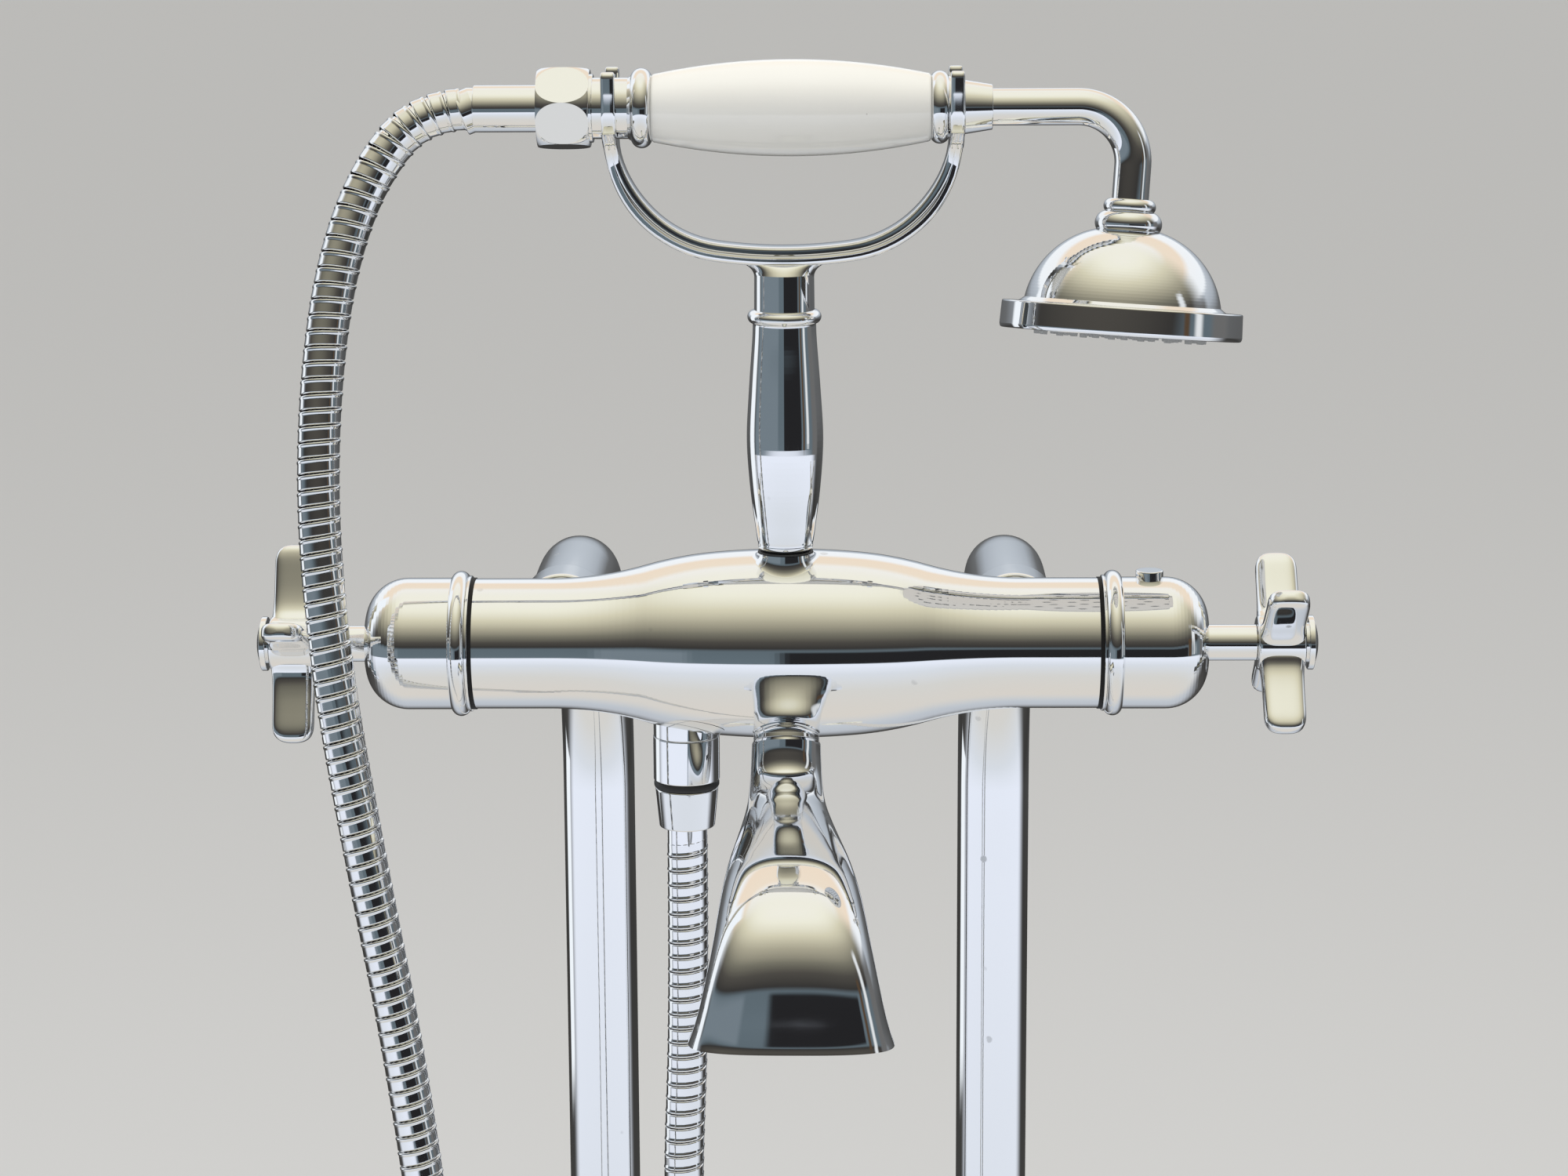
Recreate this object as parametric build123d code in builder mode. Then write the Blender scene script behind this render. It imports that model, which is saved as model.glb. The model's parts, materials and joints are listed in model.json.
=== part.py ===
from build123d import *
from math import asin, cos, degrees, pi, radians, sin, sqrt, tan
import os

os.makedirs("parts", exist_ok=True)

# A floor-standing bath and shower mixer with a telephone handset.
# Millimetres: X runs along the body, Y to the back, Z up from the floor.
# The origin is on the floor, midway between the two pillars.

# Where the main axes are
inlet_pitch = 150.0  # between the hot and the cold pillar
body_height = 780.0  # body axis above the floor
body_reach = 200.0  # body axis in front of the pillars
column_forward = 7.0  # cradle column in front of the body axis
handset_rise = 172.1  # handset axis above the body axis
handset_swing = 7.0  # degrees that the handset is turned in its forks
fit = 0.05  # radial clearance of a turned fit
joint_gap = 0.1  # between the flat faces of pieces that turn on each other

# Mixer body
bulge_r = 30.5
crown_arc_r = 260.0
crown_angle = 5.0
shoulder_arc_r = 120.0
shoulder_angle = 16.0
barrel_r = 21.0
body_half = 100.3
cartridge_bore_r = 15.0
cartridge_bore_depth = 40.3
chamber_r = 13.0

# Turning ends: shroud, bead ring, stem and cross handle, reaching out from the body's end
slip_ring_thick = 0.7
shroud_r = 21.2
shroud_wall = 2.3
shroud_lip_r = 22.0
shroud_lip = 1.4
shroud_out = 35.0
shroud_nose_r = 13.6
shroud_end_wall = 4.0
bead_ring_r = 23.4
bead_ring_width = 5.0
stem_r = 5.8
stem_out = 50.7
stop_ring_r = 12.0
stop_ring_out = 11.2
stop_ring_length = 10.0
spindle_r = 4.0
spindle_in = 6.3  # into the cartridge
spindle_out = 59.7
cartridge_head_r = 11.0
cartridge_head_out = 9.7
hub_r = 7.6
hub_length = 15.5
arm_count = 4
arm_reach = 32.0
arm_root_half = 4.7
arm_tip_half = 5.7
arm_tip_dome = 2.6
arm_width = 13.6
arm_round = 2.6
web_round = 3.2
right_lean = 40.0  # degrees of the first arm from upright, towards the back
left_lean = 20.0
screw_head_r = 3.6
screw_head = 2.5
screw_r = 2.0
disc_r = 8.75
disc_rim = 1.9
disc_height = 3.5
disc_gap = 0.8
plug_r = 3.9
plug_length = 3.4

# Safety button on the right shroud
button_out = 16.1  # button axis beyond the body's end
button_r = 4.5
button_top = 25.2
button_flange_r = 5.6
button_flange = 1.5
spring_r = 3.2
spring_wire = 0.8
spring_seat = 11.6

# Bath spout: sections along its centreline, as (forward, down, tilt, half width, half depth)
spout_sections = [
    (31.0, 31.0, 30.0, 11.25, 11.0),
    (52.0, 40.0, 24.0, 12.6, 11.8),
    (75.0, 48.5, 23.0, 16.6, 13.0),
    (95.0, 57.5, 33.0, 20.2, 14.2),
    (110.0, 68.5, 50.0, 22.6, 15.4),
    (118.5, 80.5, 66.0, 25.4, 17.0),
    (122.0, 93.0, 80.0, 29.3, 19.5),
]
spout_wall = 2.4
spout_root_r = 10.3
spout_root_sections = [(24.0, 24.5, 36.0, 11.2, 10.9), (18.0, 16.5, 44.0, 14.2, 12.6)]
spout_way_r = 7.0

# Cradle: seal, column and yoke
seal_lift = 31.4  # seal ring above the body axis
seal_r = 8.8
seal_thick = 0.6
saddle_top_r = 8.9
column_foot_r = 8.7
column_waist_r = 9.35
column_waist_z = 41.3
column_belly_r = 12.1
column_belly_drop = 30.3  # widest place below the neck
column_neck_r = 10.0
column_neck_drop = 17.4  # neck below the column's top
column_bead_r = 11.6
column_bead = 5.4
column_top_r = 9.4
column_spigot_r = 4.0
column_spigot = 11.5
pad_height = 3.8
pad_spread = 2.6
yoke_half = 53.8
yoke_corner_r = 38.0
yoke_bottom_r = 150.0
yoke_drop = 46.0  # bottom of the bar's centreline below the handset axis
bar_thick = 5.8
bar_depth = 11.0
bar_round = 2.2
groove_width = 1.4
groove_depth = 0.9
fork_thick = 4.4
fork_slot_r = 9.9
fork_outer_r = 13.0
fork_tip = 12.0

# Handset, places along its axis from the middle of the yoke
ferrule_r = 7.3
ferrule_bore_r = 4.2
ferrule_start = -96.3
nut_start = -76.3
nut_end = -60.0
nut_flats = 24.0
nut_rim_r = 11.3
nut_rim = 1.1
nut_face = 2.6
flange_r = 9.2
flange_thick = 3.0
washer_thick = 2.0
shoulder_r = 10.3
neck_r = 9.5
left_bead = (-47.3, -40.9)
left_bead_r = 12.4
right_bead = (45.8, 51.3)
right_bead_r = 11.3
grip_end_r = 10.4
grip_belly_r = 15.0
grip_tube_r = 6.5
grip_tube_wall = 1.2
waterway_r = 4.6
sleeve_r = (8.45, 7.0)
sleeve_end = 65.4
sleeve_collar = 1.6
goose_r = 5.75
goose_wall = 1.0
goose_bend_start = 91.5
goose_bend_r = 17.0
goose_turn = 94.0
goose_tail = 10.2
bead_small_r = 8.2
bead_small = 3.6
bead_large_r = 10.2
bead_large = 6.8
rose_drop = 27.6  # top of the dome above the middle of the rim
rose_dome_r = 30.8
rose_dome_arc_r = 22.0
rose_crown_r = 9.4
rose_rim_r = 37.8
rose_rim = 8.6
rose_rim_round = 0.8
rose_wall = 1.8
plate_r = 35.6
plate_thick = 1.6
plate_recess = 0.6
nozzle_pitch = 8.6  # from ring to ring
nozzle_ring_count = 4
nozzle_step_count = 6  # more nozzles in each ring outwards
nozzle_r = 1.5
nozzle_length = 3.6
mat_thick = 1.2

# Shower outlet below the body, and the hose's lower end
outlet_x = -32.6
outlet_face = 30.4  # face of the boss below the body axis
outlet_boss_r = 10.6
outlet_r = 10.75
outlet_end = 45.0
outlet_spigot_r = 8.0
outlet_spigot = 9.0
outlet_way_r = 6.0
ring_groove = 2.6
ring_r = 10.6
hose_nut_r = (10.25, 9.0)
hose_nut_end = 60.7
lower_ferrule_r = 6.45
lower_ferrule_end = 66.8
tail_thread_r = 7.6

# Inlets, legs and feet
inlet_boss_r = 12.5
inlet_face = 44.0  # face of the inlet boss behind the body axis
inlet_way_r = 8.0
inlet_washer = 2.0
union_start = 36.0
union_end = 54.0
union_r = 15.2
union_lip = 3.4
tail_r = 11.0
tail_end = 60.0
leg_r = 13.5
leg_wall = 1.2
leg_bend_r = 100.0
supply_r = 7.5
supply_wall = 0.7
foot_r = 35.0
foot_thick = 5.0
foot_collar_r = 17.0
foot_collar = 22.0
foot_screw_r = 2.75
foot_screw_y = 25.0

# Hose: outer radius, bore, and its ribs
hose_r = 6.7
hose_bore_r = 4.2
hose_groove = 0.75
hose_groove_share = 0.36
hose_rib_count = 196


# Places that follow from the sizes above
shroud_start = body_half + slip_ring_thick + joint_gap
shroud_end = body_half + shroud_out
shroud_inner_r = shroud_r - shroud_wall
shroud_inner_end = shroud_end - shroud_end_wall
stem_end = body_half + stem_out
stop_ring_start = body_half + stop_ring_out
spindle_start = body_half - spindle_in
spindle_end = body_half + spindle_out
cartridge_head_end = body_half + cartridge_head_out
button_x = body_half + button_out
yoke_bottom_z = handset_rise - yoke_drop
pad_top_z = yoke_bottom_z - bar_thick / 2 + 1.0
column_top_z = pad_top_z - pad_height
column_neck_z = column_top_z - column_neck_drop
column_belly_z = column_neck_z - column_belly_drop

# Frames used by the pieces
body_origin = (0, -body_reach, body_height)
body_plane = Plane(body_origin, x_dir=(1, 0, 0), z_dir=(0, -1, 0))
body_axis = Axis(body_origin, (1, 0, 0))
column_origin = (0, -body_reach - column_forward, body_height)
column_plane = Plane(column_origin, x_dir=(1, 0, 0), z_dir=(0, -1, 0))
column_axis = Axis(column_origin, (0, 0, 1))
hand_origin = (0, -body_reach - column_forward, body_height + handset_rise)
hand_plane = Plane(
    hand_origin,
    x_dir=(1, 0, 0),
    z_dir=(0, -cos(radians(handset_swing)), sin(radians(handset_swing))),
)
hand_axis = Axis(hand_origin, (1, 0, 0))


def across(origin, x):
    """Plane that faces +X at a place along an axis through origin."""
    return Plane((x, origin[1], origin[2]), x_dir=(0, 1, 0), z_dir=(1, 0, 0))


def level(x, y, z):
    """Level plane at a place measured from the body axis."""
    return Plane((x, y - body_reach, z + body_height))


def facing_back(x, y):
    """Plane that faces the back, on the level of the body axis."""
    return Plane((x, y - body_reach, body_height), x_dir=(1, 0, 0), z_dir=(0, 1, 0))


def spout_plane(forward, down, tilt):
    """Section plane of the spout, square to a direction that dips by tilt degrees."""
    return Plane(
        (0, -body_reach - forward, body_height - down),
        x_dir=(1, 0, 0),
        z_dir=(0, -cos(radians(tilt)), -sin(radians(tilt))),
    )


# Mixer body: a bellied barrel, bored from both ends, with bosses for all that joins it
with BuildPart() as mixer_body:
    with BuildSketch(body_plane):
        with BuildLine():
            crown = JernArc((0, bulge_r), (1, 0), crown_arc_r, -crown_angle)
            shoulder = JernArc(
                crown @ 1, crown % 1, shoulder_arc_r, crown_angle - shoulder_angle
            )
            drop = (shoulder @ 1).Y - barrel_r
            valley_arc_r = drop / (1 - cos(radians(shoulder_angle)))
            valley = JernArc(shoulder @ 1, shoulder % 1, valley_arc_r, shoulder_angle)
            Polyline(valley @ 1, (body_half, barrel_r), (body_half, 0), (0, 0), (0, bulge_r))
        make_face()
        mirror(about=Plane.YZ)
    revolve(axis=body_axis)
    # Saddle under the cradle column
    with BuildSketch(level(0, -column_forward, seal_lift)):
        Circle(saddle_top_r)
    extrude(amount=-(seal_lift - chamber_r - 2), taper=-4)
    # Root of the bath spout, flaring into the body
    root = spout_sections[0]
    with BuildSketch(spout_plane(root[0], root[1], root[2])) as root_end:
        Circle(spout_root_r)
    for forward, down, tilt, half_width, half_depth in spout_root_sections:
        with BuildSketch(spout_plane(forward, down, tilt)):
            Ellipse(half_width, half_depth)
    loft()
    # Boss of the shower outlet
    with BuildSketch(level(outlet_x, 0, -outlet_face)):
        Circle(outlet_boss_r)
    extrude(amount=outlet_face - chamber_r - 2)
    # Inlet bosses at the back
    for x in (-inlet_pitch / 2, inlet_pitch / 2):
        with BuildSketch(facing_back(x, inlet_face)):
            Circle(inlet_boss_r)
        extrude(amount=-(inlet_face - cartridge_bore_r - 2))
    # Bores: chamber, cartridge seats, and the ways in and out
    with BuildSketch(across(body_origin, -body_half)):
        Circle(chamber_r)
    extrude(amount=2 * body_half, mode=Mode.SUBTRACT)
    for x in (-body_half, body_half - cartridge_bore_depth):
        with BuildSketch(across(body_origin, x)):
            Circle(cartridge_bore_r)
        extrude(amount=cartridge_bore_depth, mode=Mode.SUBTRACT)
    for x in (-inlet_pitch / 2, inlet_pitch / 2):
        with BuildSketch(facing_back(x, inlet_face)):
            Circle(inlet_way_r)
        extrude(amount=-(inlet_face - 8.0), mode=Mode.SUBTRACT)
    with BuildSketch(level(outlet_x, 0, -outlet_face)):
        Circle(outlet_spigot_r + fit)
    extrude(amount=outlet_spigot, mode=Mode.SUBTRACT)
    with BuildSketch(level(outlet_x, 0, -outlet_face)):
        Circle(outlet_way_r)
    extrude(amount=outlet_face - 5.0, mode=Mode.SUBTRACT)
    with BuildSketch(spout_plane(root[0], root[1], root[2])):
        Circle(spout_way_r)
    extrude(amount=-28.0, mode=Mode.SUBTRACT)
    with BuildSketch(level(0, -column_forward, seal_lift)):
        Circle(column_spigot_r + fit)
    extrude(amount=-column_spigot - 0.5, mode=Mode.SUBTRACT)
mixer_body.part.label = "mixer_body"
export_step(mixer_body.part, "parts/mixer_body.step")

# Bath spout: one casting, round at its root and flaring into an oval bell
with BuildPart() as bath_spout:
    for forward, down, tilt, half_width, half_depth in spout_sections:
        with BuildSketch(spout_plane(forward, down, tilt)):
            Ellipse(half_width, half_depth)
    loft()
    first = spout_sections[0]
    with BuildSketch(spout_plane(first[0], first[1], first[2])):
        Circle(spout_way_r)
    for forward, down, tilt, half_width, half_depth in spout_sections[1:]:
        with BuildSketch(spout_plane(forward, down, tilt)):
            Ellipse(half_width - spout_wall, half_depth - spout_wall)
    loft(mode=Mode.SUBTRACT)
bath_spout.part.label = "bath_spout"
export_step(bath_spout.part, "parts/bath_spout.step")


def make_cartridge(side, name):
    """Cartridge in its bore, with a head that carries the spindle."""
    seat = body_half - cartridge_bore_depth
    with BuildPart() as cartridge:
        with BuildSketch(body_plane):
            with BuildLine():
                Polyline(
                    (side * seat, 0),
                    (side * seat, cartridge_bore_r - fit),
                    (side * body_half, cartridge_bore_r - fit),
                    (side * body_half, cartridge_head_r),
                    (side * cartridge_head_end, cartridge_head_r),
                    (side * cartridge_head_end, spindle_r + fit),
                    (side * spindle_start, spindle_r + fit),
                    (side * spindle_start, 0),
                    close=True,
                )
            make_face()
        revolve(axis=body_axis)
    cartridge.part.label = f"{name}_cartridge"
    export_step(cartridge.part, f"parts/{name}_cartridge.step")


def make_slip_ring(side, name):
    """Thin plastic ring between the body's end and the turning shroud."""
    with BuildPart() as slip_ring:
        with BuildSketch(body_plane):
            with BuildLine():
                Polyline(
                    (side * body_half, cartridge_bore_r),
                    (side * body_half, barrel_r - 0.8),
                    (side * (body_half + slip_ring_thick), barrel_r - 0.8),
                    (side * (body_half + slip_ring_thick), cartridge_bore_r),
                    close=True,
                )
            make_face()
        revolve(axis=body_axis)
    slip_ring.part.label = f"{name}_slip_ring"
    export_step(slip_ring.part, f"parts/{name}_slip_ring.step")


def make_shroud(side, name, has_button):
    """Hollow turned cap with a rounded nose, open towards the body."""
    with BuildPart() as shroud:
        with BuildSketch(body_plane):
            with BuildLine():
                skin = Polyline(
                    (shroud_start, shroud_inner_r),
                    (shroud_start, shroud_lip_r),
                    (shroud_start + shroud_lip, shroud_lip_r),
                    (shroud_start + shroud_lip, shroud_r),
                    (shroud_end - shroud_nose_r, shroud_r),
                )
                nose = JernArc(skin @ 1, (1, 0), shroud_nose_r, -90)
                Polyline(
                    nose @ 1,
                    (shroud_end, stem_r + fit),
                    (shroud_inner_end, stem_r + fit),
                    (shroud_inner_end, shroud_nose_r - shroud_end_wall),
                )
                Line((shroud_inner_end, shroud_nose_r - shroud_end_wall),
                     (shroud_end - shroud_nose_r, shroud_inner_r))
                Line((shroud_end - shroud_nose_r, shroud_inner_r), skin @ 0)
            make_face()
        revolve(axis=body_axis)
        if has_button:
            with BuildSketch(level(button_x, 0, shroud_inner_r - 4)):
                Circle(button_r + fit)
            extrude(amount=12, mode=Mode.SUBTRACT)
        if side < 0:
            mirror(about=Plane.YZ, mode=Mode.REPLACE)
    shroud.part.label = f"{name}_shroud"
    export_step(shroud.part, f"parts/{name}_shroud.step")


def make_bead_ring(side, name):
    """Half-round ring pressed onto the shroud behind its lip."""
    start = shroud_start + shroud_lip
    with BuildPart() as bead_ring:
        with BuildSketch(body_plane):
            with BuildLine():
                base = Line(
                    (side * start, shroud_r + fit),
                    (side * (start + bead_ring_width), shroud_r + fit),
                )
                ThreePointArc(
                    base @ 1, (side * (start + bead_ring_width / 2), bead_ring_r), base @ 0
                )
            make_face()
        revolve(axis=body_axis)
    bead_ring.part.label = f"{name}_bead_ring"
    export_step(bead_ring.part, f"parts/{name}_bead_ring.step")


def make_stem(side, name, has_button):
    """Sleeve on the spindle: its collar stops inside the shroud, and its stem shows."""
    stop_end = stop_ring_start + stop_ring_length
    with BuildPart() as stem:
        with BuildSketch(across(body_origin, side * stop_ring_start)):
            Circle(stop_ring_r)
        extrude(amount=side * stop_ring_length)
        with BuildSketch(across(body_origin, side * stop_end)):
            Circle(stem_r)
        extrude(amount=side * (stem_end - stop_end))
        with BuildSketch(across(body_origin, side * stop_ring_start)):
            Circle(spindle_r + fit)
        extrude(amount=side * (stem_end - stop_ring_start), mode=Mode.SUBTRACT)
        if has_button:
            with BuildSketch(level(side * button_x, 0, spring_seat)):
                Circle(spring_r + 0.4)
            extrude(amount=stop_ring_r, mode=Mode.SUBTRACT)
    stem.part.label = f"{name}_stem"
    export_step(stem.part, f"parts/{name}_stem.step")
    with BuildPart() as spindle:
        with BuildSketch(across(body_origin, side * spindle_start)):
            Circle(spindle_r)
        extrude(amount=side * (spindle_end - spindle_start))
        with BuildSketch(across(body_origin, side * spindle_end)):
            Circle(screw_r + fit)
        extrude(amount=-side * 9.0, mode=Mode.SUBTRACT)
    spindle.part.label = f"{name}_spindle"
    export_step(spindle.part, f"parts/{name}_spindle.step")


def make_handle(side, name, lean):
    """Four-armed cross handle, its screw, and the domed disc over the screw."""
    hub_end = stem_end + hub_length
    arm_start = stem_end + (hub_length - arm_width) / 2
    with BuildSketch() as arm:
        with BuildLine():
            edge = Line((0, arm_root_half), (arm_reach - arm_tip_dome, arm_tip_half))
            tip = ThreePointArc(
                edge @ 1, (arm_reach, 0), (arm_reach - arm_tip_dome, -arm_tip_half)
            )
            Polyline(tip @ 1, (0, -arm_root_half), edge @ 0)
        make_face()
    with BuildPart() as handle:
        with BuildSketch(across(body_origin, side * arm_start)) as cross:
            with PolarLocations(0, arm_count, start_angle=90 - lean):
                add(arm.sketch)
            by_reach = cross.vertices().sort_by(SortBy.DISTANCE)
            fillet(by_reach[:arm_count], web_round)
            by_reach = cross.vertices().sort_by(SortBy.DISTANCE)
            fillet(by_reach[-2 * arm_count :], 2.0)
        extrude(amount=side * arm_width)
        fillet(handle.faces().filter_by(Axis.X).edges(), arm_round)
        with BuildSketch(across(body_origin, side * stem_end)):
            Circle(hub_r)
        extrude(amount=side * hub_length)
        with BuildSketch(across(body_origin, side * stem_end)):
            Circle(spindle_r + fit)
        extrude(amount=side * hub_length, mode=Mode.SUBTRACT)
    handle.part.label = f"{name}_handle"
    export_step(handle.part, f"parts/{name}_handle.step")
    with BuildPart() as screw:
        with BuildSketch(across(body_origin, side * spindle_end)):
            Circle(screw_head_r)
        extrude(amount=side * screw_head)
        with BuildSketch(across(body_origin, side * spindle_end)):
            Circle(screw_r)
        extrude(amount=-side * 8.5)
        with BuildSketch(across(body_origin, side * (spindle_end + screw_head))):
            RegularPolygon(1.5, 6)
        extrude(amount=-side * 1.5, mode=Mode.SUBTRACT)
    screw.part.label = f"{name}_handle_screw"
    export_step(screw.part, f"parts/{name}_handle_screw.step")
    disc_start = hub_end + disc_gap
    disc_end = disc_start + disc_height
    with BuildPart() as disc:
        with BuildSketch(body_plane):
            with BuildLine():
                rim = Polyline(
                    (side * (hub_end - plug_length), 0),
                    (side * (hub_end - plug_length), plug_r),
                    (side * hub_end, plug_r),
                    (side * hub_end, hub_r - 1.2),
                    (side * disc_start, hub_r - 1.2),
                    (side * disc_start, disc_r),
                    (side * (disc_start + disc_rim), disc_r),
                    (side * (disc_start + disc_rim), disc_r - 1.0),
                )
                dome_r = disc_r - 1.0
                rise = disc_height - disc_rim
                dome_arc_r = (dome_r**2 + rise**2) / (2 * rise)
                half_sag = dome_arc_r - sqrt(dome_arc_r**2 - dome_r**2 / 4)
                ThreePointArc(
                    rim @ 1, (side * (disc_end - half_sag), dome_r / 2), (side * disc_end, 0)
                )
                Line((side * disc_end, 0), rim @ 0)
            make_face()
        revolve(axis=body_axis)
    disc.part.label = f"{name}_index_disc"
    export_step(disc.part, f"parts/{name}_index_disc.step")


for side, name, lean, has_button in (
    (-1, "flow", left_lean, False),
    (1, "temperature", right_lean, True),
):
    make_cartridge(side, name)
    make_slip_ring(side, name)
    make_shroud(side, name, has_button)
    make_bead_ring(side, name)
    make_stem(side, name, has_button)
    make_handle(side, name, lean)

# Safety button, held in by its flange, and the spring under it
flange_top = sqrt(shroud_inner_r**2 - button_flange_r**2) - joint_gap
with BuildPart() as safety_button:
    with BuildSketch(level(button_x, 0, flange_top - button_flange)):
        Circle(button_flange_r)
    extrude(amount=button_flange)
    with BuildSketch(level(button_x, 0, flange_top - button_flange)):
        Circle(button_r)
    extrude(amount=button_top - flange_top + button_flange)
    top_rim = safety_button.edges().group_by(Axis.Z)[-1]
    fillet(top_rim, 0.5)
    with BuildSketch(level(button_x, 0, flange_top - button_flange)):
        Circle(spring_r - spring_wire - 0.2)
    extrude(amount=-1.5)
safety_button.part.label = "safety_button"
export_step(safety_button.part, "parts/safety_button.step")

with BuildPart() as button_spring:
    with BuildSketch(level(button_x, 0, spring_seat)):
        Circle(spring_r)
        Circle(spring_r - spring_wire, mode=Mode.SUBTRACT)
    extrude(amount=flange_top - button_flange - spring_seat)
button_spring.part.label = "button_spring"
export_step(button_spring.part, "parts/button_spring.step")

# Cradle seal: a thin black ring between the saddle and the column
with BuildPart() as cradle_seal:
    with BuildSketch(level(0, -column_forward, seal_lift)):
        Circle(seal_r)
        Circle(column_spigot_r + fit, mode=Mode.SUBTRACT)
    extrude(amount=seal_thick)
cradle_seal.part.label = "cradle_seal"
export_step(cradle_seal.part, "parts/cradle_seal.step")

# Cradle column: a turned baluster with a bead near its top
foot_z = seal_lift + seal_thick
with BuildPart() as cradle_column:
    with BuildSketch(column_plane):
        with BuildLine():
            bead_z = column_neck_z + 0.8
            bead_mid = bead_z + column_bead / 2
            heel = ThreePointArc(
                (column_foot_r - 1.6, foot_z),
                (column_foot_r - 0.4, foot_z + 0.7),
                (column_foot_r, foot_z + 2.4),
            )
            belly = Spline(
                heel @ 1,
                (column_waist_r, column_waist_z),
                (column_belly_r, column_belly_z),
                (column_neck_r, column_neck_z),
                tangents=[(0.05, 1), (-0.04, 1)],
            )
            neck = Line(belly @ 1, (column_neck_r, bead_z))
            bead = ThreePointArc(
                neck @ 1,
                (column_bead_r, bead_mid),
                (column_top_r, bead_z + column_bead),
            )
            Polyline(
                bead @ 1,
                (column_top_r, column_top_z),
                (0, column_top_z),
                (0, foot_z - column_spigot),
                (column_spigot_r, foot_z - column_spigot),
                (column_spigot_r, foot_z),
                heel @ 0,
            )
        make_face()
    revolve(axis=column_axis)
cradle_column.part.label = "cradle_column"
export_step(cradle_column.part, "parts/cradle_column.step")

# Cradle yoke: a grooved bar bent to a wide U
corner_offset = yoke_half - yoke_corner_r
corner_angle = degrees(asin(corner_offset / (yoke_bottom_r - yoke_corner_r)))
corner_z = (
    yoke_bottom_z
    + yoke_bottom_r
    - (yoke_bottom_r - yoke_corner_r) * cos(radians(corner_angle))
)
with BuildPart() as cradle_yoke:
    with BuildLine(column_plane) as yoke_line:
        left_corner = JernArc(
            (-yoke_half, corner_z), (0, -1), yoke_corner_r, 90 - corner_angle
        )
        bottom = JernArc(
            left_corner @ 1, left_corner % 1, yoke_bottom_r, 2 * corner_angle
        )
        JernArc(bottom @ 1, bottom % 1, yoke_corner_r, 90 - corner_angle)
    with BuildSketch(
        Plane(
            (-yoke_half, column_origin[1], body_height + corner_z),
            x_dir=(1, 0, 0),
            z_dir=(0, 0, -1),
        )
    ):
        RectangleRounded(bar_thick, bar_depth, bar_round)
        for end in (-1, 1):
            with Locations((0, end * bar_depth / 2)):
                Rectangle(groove_width, 2 * groove_depth, mode=Mode.SUBTRACT)
    sweep()
    # The bar's ends are hollowed to sit on the round of the forks
    with BuildSketch(across(hand_origin, -yoke_half - bar_thick)):
        Circle(fork_outer_r + fit)
    extrude(amount=2 * (yoke_half + bar_thick), mode=Mode.SUBTRACT)
    # Pad that the column's top runs into
    with BuildSketch(level(0, -column_forward, column_top_z)):
        Circle(column_top_r)
    with BuildSketch(level(0, -column_forward, pad_top_z)):
        Ellipse(column_top_r + pad_spread, bar_depth / 2)
    loft()
cradle_yoke.part.label = "cradle_yoke"
export_step(cradle_yoke.part, "parts/cradle_yoke.step")


def make_fork(side, name):
    """Fork plate brazed onto the bar's end: a round cheek with two prongs for the handset's neck."""
    with BuildPart() as fork:
        with BuildSketch(across(hand_origin, side * yoke_half - fork_thick / 2)):
            with BuildLine():
                Polyline(
                    (-fork_outer_r, 0),
                    (-fork_outer_r - 0.9, fork_tip - 1.0),
                    (-fork_outer_r + 0.6, fork_tip),
                    (-fork_slot_r - 0.4, fork_tip),
                    (-fork_slot_r, 0),
                )
                Polyline(
                    (fork_slot_r, 0),
                    (fork_slot_r + 0.4, fork_tip),
                    (fork_outer_r - 0.6, fork_tip),
                    (fork_outer_r + 0.9, fork_tip - 1.0),
                    (fork_outer_r, 0),
                )
                ThreePointArc((fork_outer_r, 0), (0, -fork_outer_r), (-fork_outer_r, 0))
                ThreePointArc((fork_slot_r, 0), (0, -fork_slot_r), (-fork_slot_r, 0))
            make_face()
        extrude(amount=fork_thick)
    fork.part.label = f"{name}_fork"
    export_step(fork.part, f"parts/{name}_fork.step")


make_fork(-1, "left")
make_fork(1, "right")

# Shower outlet: adapter, check valve, O-ring, and the hose's nut, washer and ferrule
with BuildPart() as shower_outlet:
    with BuildSketch(level(outlet_x, 0, -outlet_face)):
        Circle(outlet_r)
    extrude(amount=-(outlet_end - outlet_face))
    with BuildSketch(level(outlet_x, 0, -outlet_face)):
        Circle(outlet_spigot_r)
    extrude(amount=outlet_spigot - 0.5)
    with BuildSketch(level(outlet_x, 0, -outlet_end)):
        Circle(tail_thread_r)
    extrude(amount=-(ring_groove + 7.0))
    with BuildSketch(level(outlet_x, 0, -outlet_face + outlet_spigot - 0.5)):
        Circle(outlet_way_r)
    extrude(amount=-(outlet_end - outlet_face + outlet_spigot), mode=Mode.SUBTRACT)
    with BuildSketch(level(outlet_x, 0, -outlet_end)):
        Circle(outlet_way_r - 1.2)
    extrude(amount=-(ring_groove + 7.0), mode=Mode.SUBTRACT)
shower_outlet.part.label = "shower_outlet"
export_step(shower_outlet.part, "parts/shower_outlet.step")

with BuildPart() as check_valve:
    with BuildSketch(level(outlet_x, 0, -outlet_end + 0.2)):
        Circle(outlet_way_r - fit)
        Circle(outlet_way_r - 2.2, mode=Mode.SUBTRACT)
    extrude(amount=12.0)
    with BuildSketch(level(outlet_x, 0, -outlet_end + 5.0)):
        Circle(outlet_way_r - 2.0)
    extrude(amount=2.0)
check_valve.part.label = "check_valve"
export_step(check_valve.part, "parts/check_valve.step")

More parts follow.
